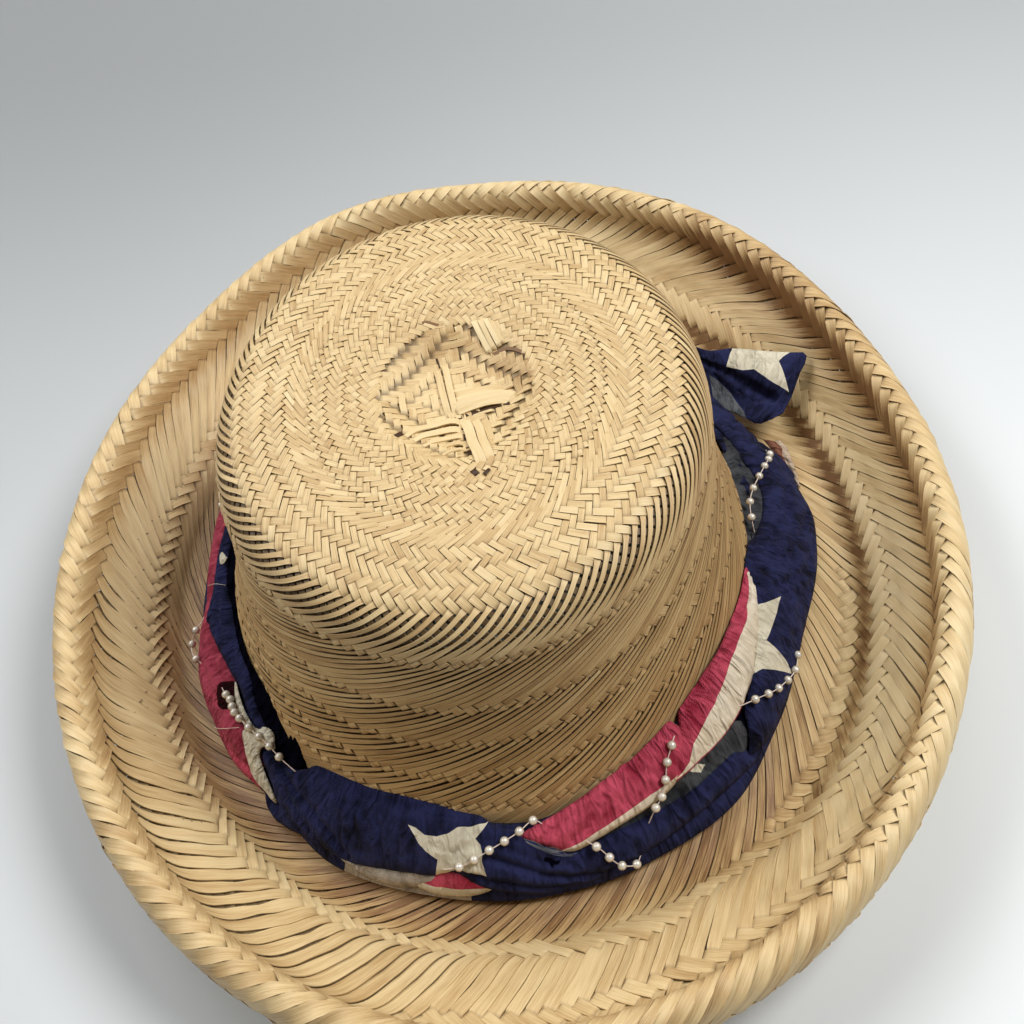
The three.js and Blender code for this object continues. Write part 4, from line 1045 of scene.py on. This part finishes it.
# A closed outline made smooth, with points about a step apart
def roundedOutline(corners, scale, step, sharp=False):
    corners = np.array(corners, float) * scale
    points = []
    for k in range(len(corners)):
        before, start, end, after = (corners[(k + j) % len(corners)] for j in (-1, 0, 1, 2))
        count = max(1, int(round(np.linalg.norm(end - start) / step)))
        for t in np.arange(count) / count:
            if sharp:
                points.append(start + (end - start) * t)
            else:
                points.append(0.5 * (2 * start + (end - before) * t
                                     + (2 * before - 5 * start + 4 * end - after) * t ** 2
                                     + (3 * start - before - 3 * end + after) * t ** 3))
    return np.array(points)


# Plain triangles over an outline, split along the edges of its printed parts
def fillOutline(outline, prints, step):
    low, high = outline.min(0), outline.max(0)
    rows = np.arange(low[1], high[1], step * band["rowShare"])
    columns = np.arange(low[0], high[0], step)
    spots = np.concatenate([np.column_stack([columns + (k % 2) * step / 2, np.full(len(columns), y)])
                            for k, y in enumerate(rows)])
    lines = [outline] + prints
    spots = spots[insideOutline(spots, outline)]
    for line in lines:
        spots = spots[lineDistance(spots, np.vstack([line, line[:1]])) > step * band["edgeShare"]]
    points, edges = [], []
    for line in lines:
        first = len(points)
        points += [tuple(p) for p in line]
        edges += [(first + k, first + (k + 1) % len(line)) for k in range(len(line))]
    points += [tuple(p) for p in spots]
    made = delaunay_2d_cdt([Vector(p) for p in points], edges, [], 0, 1e-4)
    corners = np.array([tuple(v) for v in made[0]])
    faces = np.array([f for f in made[2] if len(f) == 3])
    middle = corners[faces].mean(1)
    faces = faces[insideOutline(middle, outline)]
    used, faces = np.unique(faces, return_inverse=True)
    return corners[used], faces.reshape(-1, 3)


# How far a fold stands over the face, with its turned edge, its creases and the small unevenness of cloth
def foldHeight(fold, scale, spots, outline):
    edge = lineDistance(spots, np.vstack([outline, outline[:1]]))
    over = fold["lift"] + band["rise"] * (1 - np.exp(-edge / band["riseReach"]))
    over = over - fold["turn"] * np.exp(-(edge / band["turnReach"]) ** 1.5)
    for points, depth, width in fold["creases"]:
        line = np.array(points, float) * scale
        line = smoothLine(line, np.linspace(0, lineLength(line), 12))
        far = lineDistance(spots, line) / width
        dent = (1 - band["creaseSides"] * far ** 2) * np.exp(-far ** 2)
        over = over - band["creaseDepth"] * depth * dent
    seed = len(fold["name"]) * 7 + len(fold["outline"])
    x, y = spots.T
    inside = 1 - np.exp(-edge / 2)
    height, long, wide = band["waves"]
    over = over + height * softNoise(x / long, y / wide, seed) * inside
    # narrow wrinkles, mostly across the cloth, deeper in some places than in others
    height, long, wide = band["wrinkles"]
    bend = 1.5 * softNoise(x / 10, y / 10, seed + 3)
    ridge = 1 - 2 * np.abs(softNoise((x + y * 0.35) / long + bend, y / wide, seed + 2))
    over = over + height * ridge * (0.3 + 1.4 * np.abs(softNoise(x / 11, y / 7, seed + 4))) * inside
    height, long, wide = band["rough"]
    return over + height * softNoise(x / long + y / 3, y / wide, seed + 1)


# Shares of the points of a line in a smooth curve through them
def curveShares(t, count):
    t = np.asarray(t, float) * (count - 1)
    k = np.clip(np.floor(t).astype(int), 0, count - 2)
    f = t - k
    parts = 0.5 * np.stack([-f + 2 * f ** 2 - f ** 3, 2 - 5 * f ** 2 + 3 * f ** 3,
                            f + 4 * f ** 2 - 3 * f ** 3, -f ** 2 + f ** 3])
    shares = np.zeros((len(t), count + 2))
    for j in range(4):
        shares[np.arange(len(t)), k + j] += parts[j]
    # the ends run on straight
    shares[:, 1] += 2 * shares[:, 0]
    shares[:, 2] -= shares[:, 0]
    shares[:, -2] += 2 * shares[:, -1]
    shares[:, -3] -= shares[:, -1]
    return shares[:, 1:-1]


# A point over the face of one of the band's loose ends
def tailPoint(tail, along, across, over):
    lines = np.array(tail["lines"], float)
    points = onHat(np.radians(lines[..., 0]), lines[..., 1], lines[..., 2])

    def at(u, v):
        shares = curveShares(u, lines.shape[1]), curveShares(v, lines.shape[0])
        return np.einsum("nu,nv,vuc->nc", *shares, points)

    step = 0.01
    normal = unit(np.cross(at(along + step, across) - at(along - step, across),
                           at(along, across + step) - at(along, across - step)))
    normal = np.where(normal[:, 2:] < 0, -normal, normal)
    return at(along, across) + normal * np.asarray(over)[:, None]


# Height of the rolled core over the band's face, with its hollows
def coreOver(degrees, across):
    height, turn, waves = band["coreWaves"]
    over = -band["coreDepth"] + height * softNoise(degrees / turn, across * waves, 3)
    for angle, middle, reachAngle, reach, depth in band["hollows"]:
        off = awayFrom(degrees, angle)
        over = over - depth * np.exp(-(off / reachAngle) ** 4 - ((across - middle) / reach) ** 4)
    return over


clothLooks = {
    # material, colour in the folds and crease hollows (painted shade), colour where it is worn and on the
    # crease ridges (painted highlight), shine
    "navy": ("navyCotton", (0.0005, 0.0007, 0.0055), (0.021, 0.025, 0.086), 0.12),
    "red": ("redCotton", (0.27, 0.008, 0.03), (0.64, 0.084, 0.145), 0.25),
    "cream": ("creamCotton", (0.58, 0.53, 0.40), (0.80, 0.74, 0.58), 0.25),
    "grey": ("cottonUnderside", (0.016, 0.019, 0.03), (0.13, 0.135, 0.145), 0.25),
    "pale": ("paleUnderside", (0.48, 0.35, 0.25), (0.66, 0.52, 0.39), 0.25),
    "frayed": ("frayedEdge", (0.04, 0.045, 0.06), (0.17, 0.18, 0.19), 0.25),
    # near-black cotton painted as the shade in deep gaps and hollows
    "paintedShade": ("shadedCotton", (0.0008, 0.0008, 0.002), (0.004, 0.004, 0.009), 0.0),
    "rust": ("rustUnderside", (0.16, 0.05, 0.03), (0.30, 0.12, 0.07), 0.25),
    # copies of the red, grey and cream darkened as painted shade
    "shadedRed": ("shadedRed", (0.005, 0.0005, 0.001), (0.035, 0.003, 0.006), 0.05),
    "shadedGrey": ("shadedUnderside", (0.004, 0.005, 0.01), (0.07, 0.074, 0.082), 0.25),
    "shadedCream": ("shadedCream", (0.30, 0.26, 0.21), (0.50, 0.44, 0.37), 0.25),
    # a lighter, pinker copy of the cream, with painted light
    "litWarmCream": ("litWarmCream", (0.74, 0.62, 0.45), (0.93, 0.82, 0.66), 0.25),
    # a darker copy of the red, painted shade on the band's left
    "shadedDeepRed": ("shadedDeepRed", (0.18, 0.005, 0.02), (0.46, 0.06, 0.105), 0.25),
}
clothNames = list(clothLooks)


# Folds of cloth gathered into one mesh
class ClothSet:
    def __init__(self):
        self.points, self.places, self.triangles, self.quads = [], [], [], []
        self.triangleCloth, self.quadCloth = [], []
        self.count = 0

    def join(self, points, places, triangles, triangleCloth, quads, quadCloth):
        self.points.append(points)
        self.places.append(np.column_stack([places, np.zeros(len(places))]))
        self.triangles.append(triangles + self.count)
        self.triangleCloth.append(triangleCloth)
        self.quads.append(quads + self.count)
        self.quadCloth.append(quadCloth)
        self.count += len(points)

    # A fold over a face: place is a function of shares along, across and the height over it
    def addFold(self, fold, scale, grid, place):
        outline = roundedOutline(fold["outline"], scale, grid, fold.get("sharp", False))
        prints = [(name, roundedOutline(shape, scale, grid, sharp=True))
                  for name, shape in fold.get("prints", [])]
        spots, faces = fillOutline(outline, [line for name, line in prints], grid)
        over = foldHeight(fold, scale, spots, outline)
        along, across = spots[:, 0] / scale[0], spots[:, 1] / scale[1]
        points = place(along, across, over)
        corners = points[faces]
        normal = np.cross(corners[:, 1] - corners[:, 0], corners[:, 2] - corners[:, 0])
        outward = place(along, across, over + 1) - points
        if (normal * outward[faces[:, 0]]).sum() < 0:
            faces, normal = faces[:, ::-1], -normal
        smooth = np.zeros_like(points)
        for k in range(3):
            np.add.at(smooth, faces[:, k], normal)
        middle = spots[faces].mean(1)
        own = clothNames.index(fold["cloth"])
        faceCloth = np.full(len(faces), own)
        for name, line in prints:
            faceCloth[insideOutline(middle, line)] = clothNames.index(name)
        both, back, sides = addSheetBack(points, unit(smooth), faces, band["thick"])
        self.join(both, np.vstack([spots, spots]), np.vstack([faces, back]),
                  np.concatenate([faceCloth, np.full(len(back), own)]), sides, np.full(len(sides), own))

    def build(self, name, cloths, part):
        piece = makeMesh(name, np.concatenate(self.points),
                         [np.concatenate(self.triangles), np.concatenate(self.quads)],
                         cloths["navy"], {"clothPlace": np.concatenate(self.places)})
        for label in clothNames[1:]:
            piece.data.materials.append(cloths[label])
        slots = np.concatenate(self.triangleCloth + self.quadCloth)
        piece.data.polygons.foreach_set("material_index", slots.astype(np.int32))
        print("cloth", name, len(slots), "faces")
        standFor(piece, part)
        return piece


# The back of a sheet of cloth, and the narrow faces that close its edge
def addSheetBack(points, normals, faces, thick):
    count = len(points)
    edges = np.concatenate([faces[:, [0, 1]], faces[:, [1, 2]], faces[:, [2, 0]]])
    keys = set(map(tuple, edges.tolist()))
    rim = np.array(sorted((a, b) for a, b in keys if (b, a) not in keys))
    both = np.concatenate([points, points - normals * thick])
    sides = np.column_stack([rim[:, 1], rim[:, 0], rim[:, 0] + count, rim[:, 1] + count])
    return both, faces[:, ::-1] + count, sides


# The rolled core of the band, all the way round
def addCore(cloth):
    turns, rings = band["coreTurns"], band["coreRings"]
    phi = np.radians(np.arange(turns) * 360 / turns)[:, None]
    across = np.linspace(band["coreStart"], 1, band["faceRings"])[None]
    face = bandPoint(phi + 0 * across, across + 0 * phi, coreOver(np.degrees(phi), across))
    degrees = np.degrees(phi[:, 0])
    outer, top = roundValue(band["outers"], degrees), roundValue(band["tops"], degrees)
    low = [(outer - inset, z) for inset, z in band["coreFoot"]]
    low += [(outer * 0 + radius, z) for radius, z in band["coreHeel"]]
    low += [(wallRadius(z) + band["coreGap"], z) for z in (top / 2 + 5.5, top - 1)]
    low = np.stack([onHat(phi[:, 0], r, z + 0 * outer) for r, z in low], axis=1)
    core = np.concatenate([face, low], axis=1)
    i, j = np.meshgrid(np.arange(turns), np.arange(rings), indexing="ij")
    quads = np.stack([i * rings + j, i * rings + (j + 1) % rings, (i + 1) % turns * rings + (j + 1) % rings,
                      (i + 1) % turns * rings + j], axis=-1).reshape(-1, 4)
    middle = (degrees[i.ravel()] + 0.4) % 360
    row = j.ravel()
    colors = np.full(len(row), clothNames.index("navy"))
    for name, start, end, firstRow, lastRow in band["coreCloth"]:
        there = (middle > start) & (middle < end) & (row >= firstRow) & (row <= lastRow)
        colors[there] = clothNames.index(name)
    flat = np.column_stack([np.repeat(degrees * band["degree"], rings),
                            np.tile(np.arange(rings) * band["ringWidth"], turns)])
    cloth.join(core.reshape(-1, 3), flat, np.zeros((0, 3), int), np.zeros(0, int), quads, colors)


def foldPoint(along, across, over):
    return bandPoint(np.radians(along), across, over)


def buildBand(cloths):
    cloth = ClothSet()
    addCore(cloth)
    scale = np.array([band["degree"], band["across"]])
    for fold in folds:
        cloth.addFold(fold, scale, band["grid"], foldPoint)
    pieces = [cloth.build("band_folds", cloths, "cloth_band")]
    for part, tail in tails.items():
        cloth = ClothSet()
        cloth.addFold(tail["fold"], np.array(tail["size"], float), tail["grid"],
                      lambda along, across, over: tailPoint(tail, along, across, over))
        pieces.append(cloth.build(part + "_cloth", cloths, part))
    pieces += [buildKnot(cloths), buildThreads(cloths)]


# The knot: a pulled lump of cloth with wrapped grooves
def buildKnot(cloths):
    knot = band["knot"]
    ball, caps, quads = ballPoints(knot["rings"], knot["around"])
    turned = np.arctan2(ball[:, 0], ball[:, 2])
    stray = knot["stray"] * softNoise(ball[:, 1] * 3, turned * 1.5, 8)
    wrap = np.sin(knot["grooves"] * turned + knot["twist"] * ball[:, 1] + stray)
    folded = 1 - knot["groove"] * np.abs(wrap) ** 3
    folded = folded + knot["rough"] * softNoise(ball[:, 0] * 6, ball[:, 1] * 6, 9)
    waist = 1 - knot["waist"] * np.exp(-(ball[:, 1] / knot["waistShare"]) ** 2)
    points = ball * (folded * waist)[:, None] * knot["size"]
    angle = math.radians(knot["at"][0])
    cos, sin = math.cos(angle), math.sin(angle)
    points = points @ np.array([[cos, sin, 0], [-sin, cos, 0], [0, 0, 1]])
    points = points + onHat(angle, knot["at"][1], knot["at"][2])
    cloth = ClothSet()
    places = np.column_stack([turned * knot["size"][2], ball[:, 1] * knot["size"][1]])
    cloth.join(points, places, caps, np.zeros(len(caps), int), quads, np.zeros(len(quads), int))
    return cloth.build("band_knot_cloth", cloths, "band_knot")


def makeLine(curve, points, material):
    spline = curve.splines.new("POLY")
    spline.points.add(len(points) - 1)
    spline.points.foreach_set("co", np.column_stack([points / 1000, np.ones(len(points))]).ravel())
    spline.material_index = material


def makeCurve(name, thick):
    curve = bpy.data.curves.new(name, "CURVE")
    curve.dimensions = "3D"
    curve.bevel_depth = thick / 2000  # half, in metres
    curve.bevel_resolution = 2
    curve.use_fill_caps = True
    thing = bpy.data.objects.new(name, curve)
    bpy.context.scene.collection.objects.link(thing)
    return thing


# Loose threads along the torn edges
def buildThreads(cloths):
    threads = makeCurve("loose_threads", band["threadThick"])
    for name in clothNames:
        threads.data.materials.append(cloths[name])
    for name, rows in band["threads"]:
        line = rowsOnBand(rows)
        steps = np.arange(0, lineLength(line), band["threadStep"])
        makeLine(threads.data, smoothLine(line, steps), clothNames.index(name))
    standFor(threads, "cloth_band")
    return threads


cotton = {
    "fadeScale": 90.0, "threadScale": 0.75, "wrinkles": (0.34, 0.15, 1),
    # shares of threads and of wrinkles (painted highlight on their ridges, painted shade in their hollows) in
    # the colour, and of threads in the relief
    "threadShare": 0.3, "ridgeLightShare": 0.6, "threadRelief": 0.14,
    "relief": 0.8, "reliefDepth": 0.0018, "roughness": 0.8, "sheenRoughness": 0.4,
}


# Printed cotton: a fine plain weave, faded where it is rubbed, with small soft creases whose ridges are
# painted lighter and whose hollows are painted darker
def clothMaterial(name, color, wornAndRidgeLit, shine):
    material, tree, shader = newMaterial(name)
    place = node(tree, "Attribute", attribute_name="clothPlace").outputs["Vector"]
    spot = node(tree, "TexCoord").outputs["Object"]
    fade = node(tree, "TexNoise", {"Vector": spot, "Scale": cotton["fadeScale"], "Detail": 5.0,
                                   "Roughness": 0.7}).outputs["Fac"]
    thread = node(tree, "Mapping", {"Vector": place, "Rotation": (0, 0, 0.5)}).outputs["Vector"]
    warp, weft = (node(tree, "TexWave", {"Vector": thread, "Scale": cotton["threadScale"],
                                         "Distortion": 0.8, "Detail": 1.0},
                       wave_type="BANDS", bands_direction=way).outputs["Fac"] for way in "XY")
    woven = node(tree, "Math", {0: warp, 1: weft}, operation="MULTIPLY").outputs[0]
    # narrow wrinkles run across the strip; they give the relief, and a painted highlight and shade in the
    # colour
    across = node(tree, "Mapping", {"Vector": place, "Scale": cotton["wrinkles"],
                                    "Rotation": (0, 0, 0.3)}).outputs["Vector"]
    wrinkle = node(tree, "TexNoise", {"Vector": across, "Scale": 1.0, "Detail": 2.0, "Roughness": 0.5,
                                      "Distortion": 0.9}).outputs["Fac"]
    ridge = node(tree, "MapRange", {"Value": wrinkle, "From Min": 0.3, "From Max": 0.7}).outputs["Result"]
    blotch = node(tree, "MapRange", {"Value": fade, "From Min": 0.35, "From Max": 0.75}).outputs["Result"]
    tint = node(tree, "Math", {0: woven, 1: cotton["threadShare"], 2: blotch},
                operation="MULTIPLY_ADD").outputs[0]
    # painted highlight on the wrinkle ridges and painted shade in their hollows
    tint = node(tree, "Math", {0: ridge, 1: cotton["ridgeLightShare"], 2: tint},
                operation="MULTIPLY_ADD").outputs[0]
    tree.links.new(ramp(tree, tint, [(0.2, color), (1.0, wornAndRidgeLit)]), shader.inputs["Base Color"])
    heights = node(tree, "Math", {0: woven, 1: cotton["threadRelief"], 2: ridge},
                   operation="MULTIPLY_ADD").outputs[0]
    bump = node(tree, "Bump", {"Height": heights, "Strength": cotton["relief"],
                               "Distance": cotton["reliefDepth"]}).outputs["Normal"]
    tree.links.new(bump, shader.inputs["Normal"])
    shader.inputs["Roughness"].default_value = cotton["roughness"]
    shader.inputs["Sheen Weight"].default_value = shine / 5
    shader.inputs["Sheen Roughness"].default_value = cotton["sheenRoughness"]
    shader.inputs["Specular IOR Level"].default_value = shine
    return material


# The pearls and their thread
pearls = {
    "diameter": 2.75, "thread": 0.34, "routeStep": 0.4,
    # colours from the middle of a pearl, as it is seen, to its edge, a painted shade that darkens its rim;
    # how wide that edge is, and its clouds
    "edge": 0.35, "cloudScale": 420.0, "cloudShare": 0.25,
    "colors": [(0.14, (0.86, 0.82, 0.73)), (0.5, (0.62, 0.56, 0.46)), (1.0, (0.26, 0.21, 0.15))],
    "roughness": 0.22, "metal": 0.2, "coat": 0.8, "coatRoughness": 0.05,
    "threadLook": ("paleThread", (0.62, 0.50, 0.44), (0.8, 0.70, 0.62), 0.25),
    # angle, share across the band's face, height over it
    "rows": [
        (56, 0.45, 1.6), (63, 0.7, 1.75), (72, 0.88, 0.4), (82, 0.6, -2.6), (92, 0.22, -0.8),
        (101, 0.35, 1.75), (111, 0.75, 1.75), (120, 0.88, 0.2), (131, 0.55, -2.6), (142, 0.2, -0.8),
        (151, 0.35, 1.75), (161, 0.62, 1), (171, 0.62, -1.6), (183, 0.58, -1.6), (186.4, 0.68, 0.6),
        (187.4, 0.73, 1.75), (188.4, 1.08, 1.75), (192.8, 0.79, 1.75), (194.2, 0.72, 0.2), (198, 0.5, -1.6),
        (204.8, 0.27, 1.5), (206.6, 0.23, 1.75), (208.9, 0.27, 1.75), (210.9, 0.24, 1.75),
        (213.2, 0.19, 1.75), (218.6, 0.04, 1.75), (221.8, -0.01, 1.7), (226, 0.04, -0.4), (234, 0.26, -2.6),
        (245, 0.55, -2.8), (254, 0.66, -1.2), (260.6, 0.5, 1.75), (265.8, 0.25, 1.75), (271.4, 0, 1.75),
        (274, -0.1, 1.6), (277, 0.12, -1.2), (280, 0.26, -0.8), (283.35, 0.5, 1.75), (286.65, 0.88, 1.75),
        (288.4, 0.94, 1.4), (289.8, 0.93, -0.8), (292.6, 0.62, -0.6), (294.7, 0.435, 1.7),
        (296.4, 0.37, 1.75), (298.3, 0.25, 1.75), (300.1, 0.12, 1.75), (302.4, 0.03, 1.75),
        (303.5, -0.01, 1.5), (305.2, 0.02, -1.2), (311, 0.16, -2), (316, 0.36, -0.4), (319.9, 0.5, 1.75),
        (326.1, 0.75, 1.75), (331.9, 0.9, 1.75), (333.6, 0.89, 1.3), (335.2, 0.86, -1), (338, 0.8, -1.6),
        (343, 0.6, -2.2), (350, 0.1, -2), (353, 0, -2), (355, -0.16, 1.2), (359.1, -0.165, 1.75),
        (362.9, 0.01, 1.75), (366.2, 0.18, 1.75), (369, 0.35, 1.75), (371.1, 0.51, 1.75),
        (372.9, 0.65, 1.7), (376, 0.7, 0.4), (383, 0.7, -2), (391, 0.5, -1), (397, 0.42, 1.4),
    ],
    # runs of pearls that lie on the cloth: angle of the first, how many, millimetres from one to the next
    "runs": [(56, 5, 5.2), (97, 8, 5.2), (148, 6, 5.2), (211, 5, 4.75), (260.6, 6, 4.95), (283.35, 4, 4.9),
             (319.9, 6, 5.9)],
    # angles of single pearls
    "singles": [187.4, 188.4, 192.8, 204.9, 206.6, 208, 209.3, 294.7, 296.4, 298.3, 300.1, 302.4,
                355.6, 359.2, 362.9, 366.2, 369, 371.1, 372.9, 395],
}


# A ball of radius 1: its points, the triangles at its poles and the quads between them
def ballPoints(rings=9, around=14):
    latitude = np.linspace(0, np.pi, rings + 1)
    points = [(0, 0, 1)]
    for t in latitude[1:-1]:
        points += [(math.sin(t) * math.cos(a), math.sin(t) * math.sin(a), math.cos(t))
                   for a in np.arange(around) * 2 * np.pi / around]
    points.append((0, 0, -1))
    last = len(points) - 1
    ring = lambda k, i: 1 + k * around + i % around
    caps = [(0, ring(0, i), ring(0, i + 1)) for i in range(around)]
    caps += [(last, ring(rings - 2, i + 1), ring(rings - 2, i)) for i in range(around)]
    quads = [(ring(k, i), ring(k + 1, i), ring(k + 1, i + 1), ring(k, i + 1))
             for k in range(rings - 2) for i in range(around)]
    return np.array(points), np.array(caps), np.array(quads)


def buildPearls(pearlLook, threadLook):
    line = rowsOnBand(pearls["rows"])
    straight = lengthsAlong(line)
    fine = np.arange(0, straight[-1], pearls["routeStep"])
    route = smoothLine(line, fine)
    angles = np.interp(fine, straight, [row[0] for row in pearls["rows"]])
    ball, caps, quads = ballPoints()
    points, capFaces, quadFaces, centres = [], [], [], []
    for first, count, pitch in pearls["runs"] + [(angle, 1, 0) for angle in pearls["singles"]]:
        start = np.interp(first, angles, fine)
        for at in start + pitch * np.arange(count):
            centres.append([np.interp(at, fine, route[:, k]) for k in range(3)])
    for k, centre in enumerate(centres):
        points.append(np.array(centre) + ball * pearls["diameter"] / 2)
        capFaces.append(caps + k * len(ball))
        quadFaces.append(quads + k * len(ball))
    beads = makeMesh("pearls", np.concatenate(points), [np.concatenate(capFaces), np.concatenate(quadFaces)],
                     pearlLook)
    thread = makeCurve("pearl_thread", pearls["thread"])
    thread.data.materials.append(threadLook)
    makeLine(thread.data, route[::3], 0)  # every third step is fine enough for the thread
    for piece in (beads, thread):
        standFor(piece, "bead_string")
    print("strung", len(centres), "pearls")


def pearlMaterial():
    material, tree, shader = newMaterial("pearl")
    spot = node(tree, "TexCoord").outputs["Object"]
    cloud = node(tree, "TexNoise", {"Vector": spot, "Scale": pearls["cloudScale"],
                                    "Detail": 2.0}).outputs["Fac"]
    # painted shade: the pearl is darker where its face turns away from the view
    edge = node(tree, "LayerWeight", {"Blend": pearls["edge"]}).outputs["Facing"]
    mixed = node(tree, "Math", {0: cloud, 1: pearls["cloudShare"], 2: edge},
                 operation="MULTIPLY_ADD").outputs[0]
    tree.links.new(ramp(tree, mixed, pearls["colors"]), shader.inputs["Base Color"])
    shader.inputs["Roughness"].default_value = pearls["roughness"]
    shader.inputs["Metallic"].default_value = pearls["metal"]
    shader.inputs["Coat Weight"].default_value = pearls["coat"]
    shader.inputs["Coat Roughness"].default_value = pearls["coatRoughness"]
    return material


def buildStudio():
    camera = bpy.data.objects.new("camera", bpy.data.cameras.new("camera"))
    bpy.context.scene.collection.objects.link(camera)
    right, up, back = (Vector(studio[key]) for key in ("cameraRight", "cameraUp", "cameraBack"))
    turned = Matrix((right, up, back)).transposed().to_4x4()
    camera.matrix_world = Matrix.Translation(Vector(studio["cameraAt"])) @ turned
    camera.data.lens = studio["lens"]
    camera.data.sensor_width = studio["sensor"]
    camera.data.sensor_fit = "HORIZONTAL"
    bpy.context.scene.camera = camera
    bpy.context.scene.view_settings.view_transform = "Standard"
    for name, place, power, color in studio["lights"]:
        light = bpy.data.objects.new(name, bpy.data.lights.new(name, "AREA"))
        light.data.shape = "DISK"
        light.data.size = studio["lightSize"]
        light.data.energy = power
        light.data.color = color
        light.location = place
        light.rotation_mode = "QUATERNION"
        light.rotation_quaternion = (Vector(studio["lightAim"]) - Vector(place)).to_track_quat("-Z", "Y")
        bpy.context.scene.collection.objects.link(light)
    world = bpy.data.worlds.new("softStudio")
    world.use_nodes = True
    sky = world.node_tree.nodes["Background"]
    sky.inputs["Color"].default_value = (*studio["worldColor"], 1)
    sky.inputs["Strength"].default_value = studio["worldStrength"]
    bpy.context.scene.world = world
    half = studio["floorSize"] * 500  # millimetres
    material, tree, shader = newMaterial("paleFloor")  # lighter from back to front and from left to right
    spot = node(tree, "TexCoord").outputs["Object"]
    cloud = node(tree, "TexNoise", {"Vector": spot, "Scale": 3.0, "Detail": 2.0}).outputs["Fac"]
    parts = node(tree, "SeparateXYZ", {"Vector": spot}).outputs
    shades = []
    # painted light and shade: the floor's colour is scaled lighter towards the front and the right
    for axis, key in (("Y", "floorLightDepth"), ("X", "floorLightWidth")):
        low, high, start, end = studio[key]
        shades.append(node(tree, "MapRange", {"Value": parts[axis], "From Min": low, "From Max": high,
                                              "To Min": start, "To Max": end},
                           interpolation_type="SMOOTHSTEP").outputs["Result"])
    shade = node(tree, "Math", {0: shades[0], 1: shades[1]}, operation="MULTIPLY").outputs[0]
    lighter = tuple(part * studio["floorClouds"] for part in studio["floorColor"])
    color = ramp(tree, cloud, [(0.3, studio["floorColor"]), (0.8, lighter)])
    color = node(tree, "VectorMath", {0: color, "Scale": shade}, operation="SCALE").outputs["Vector"]
    tree.links.new(color, shader.inputs["Base Color"])
    shader.inputs["Roughness"].default_value = studio["floorRoughness"]
    floor = makeMesh("floor", [(-half, -half, 0), (half, -half, 0), (half, half, 0), (-half, half, 0)],
                     [np.array([[0, 1, 2, 3]])], material, smooth=False)


buildStudio()
print("studio ready")
buildWeave(strawMaterial())
print("hat woven")
buildBand({name: clothMaterial(*look) for name, look in clothLooks.items()})
buildPearls(pearlMaterial(), clothMaterial(*pearls["threadLook"]))
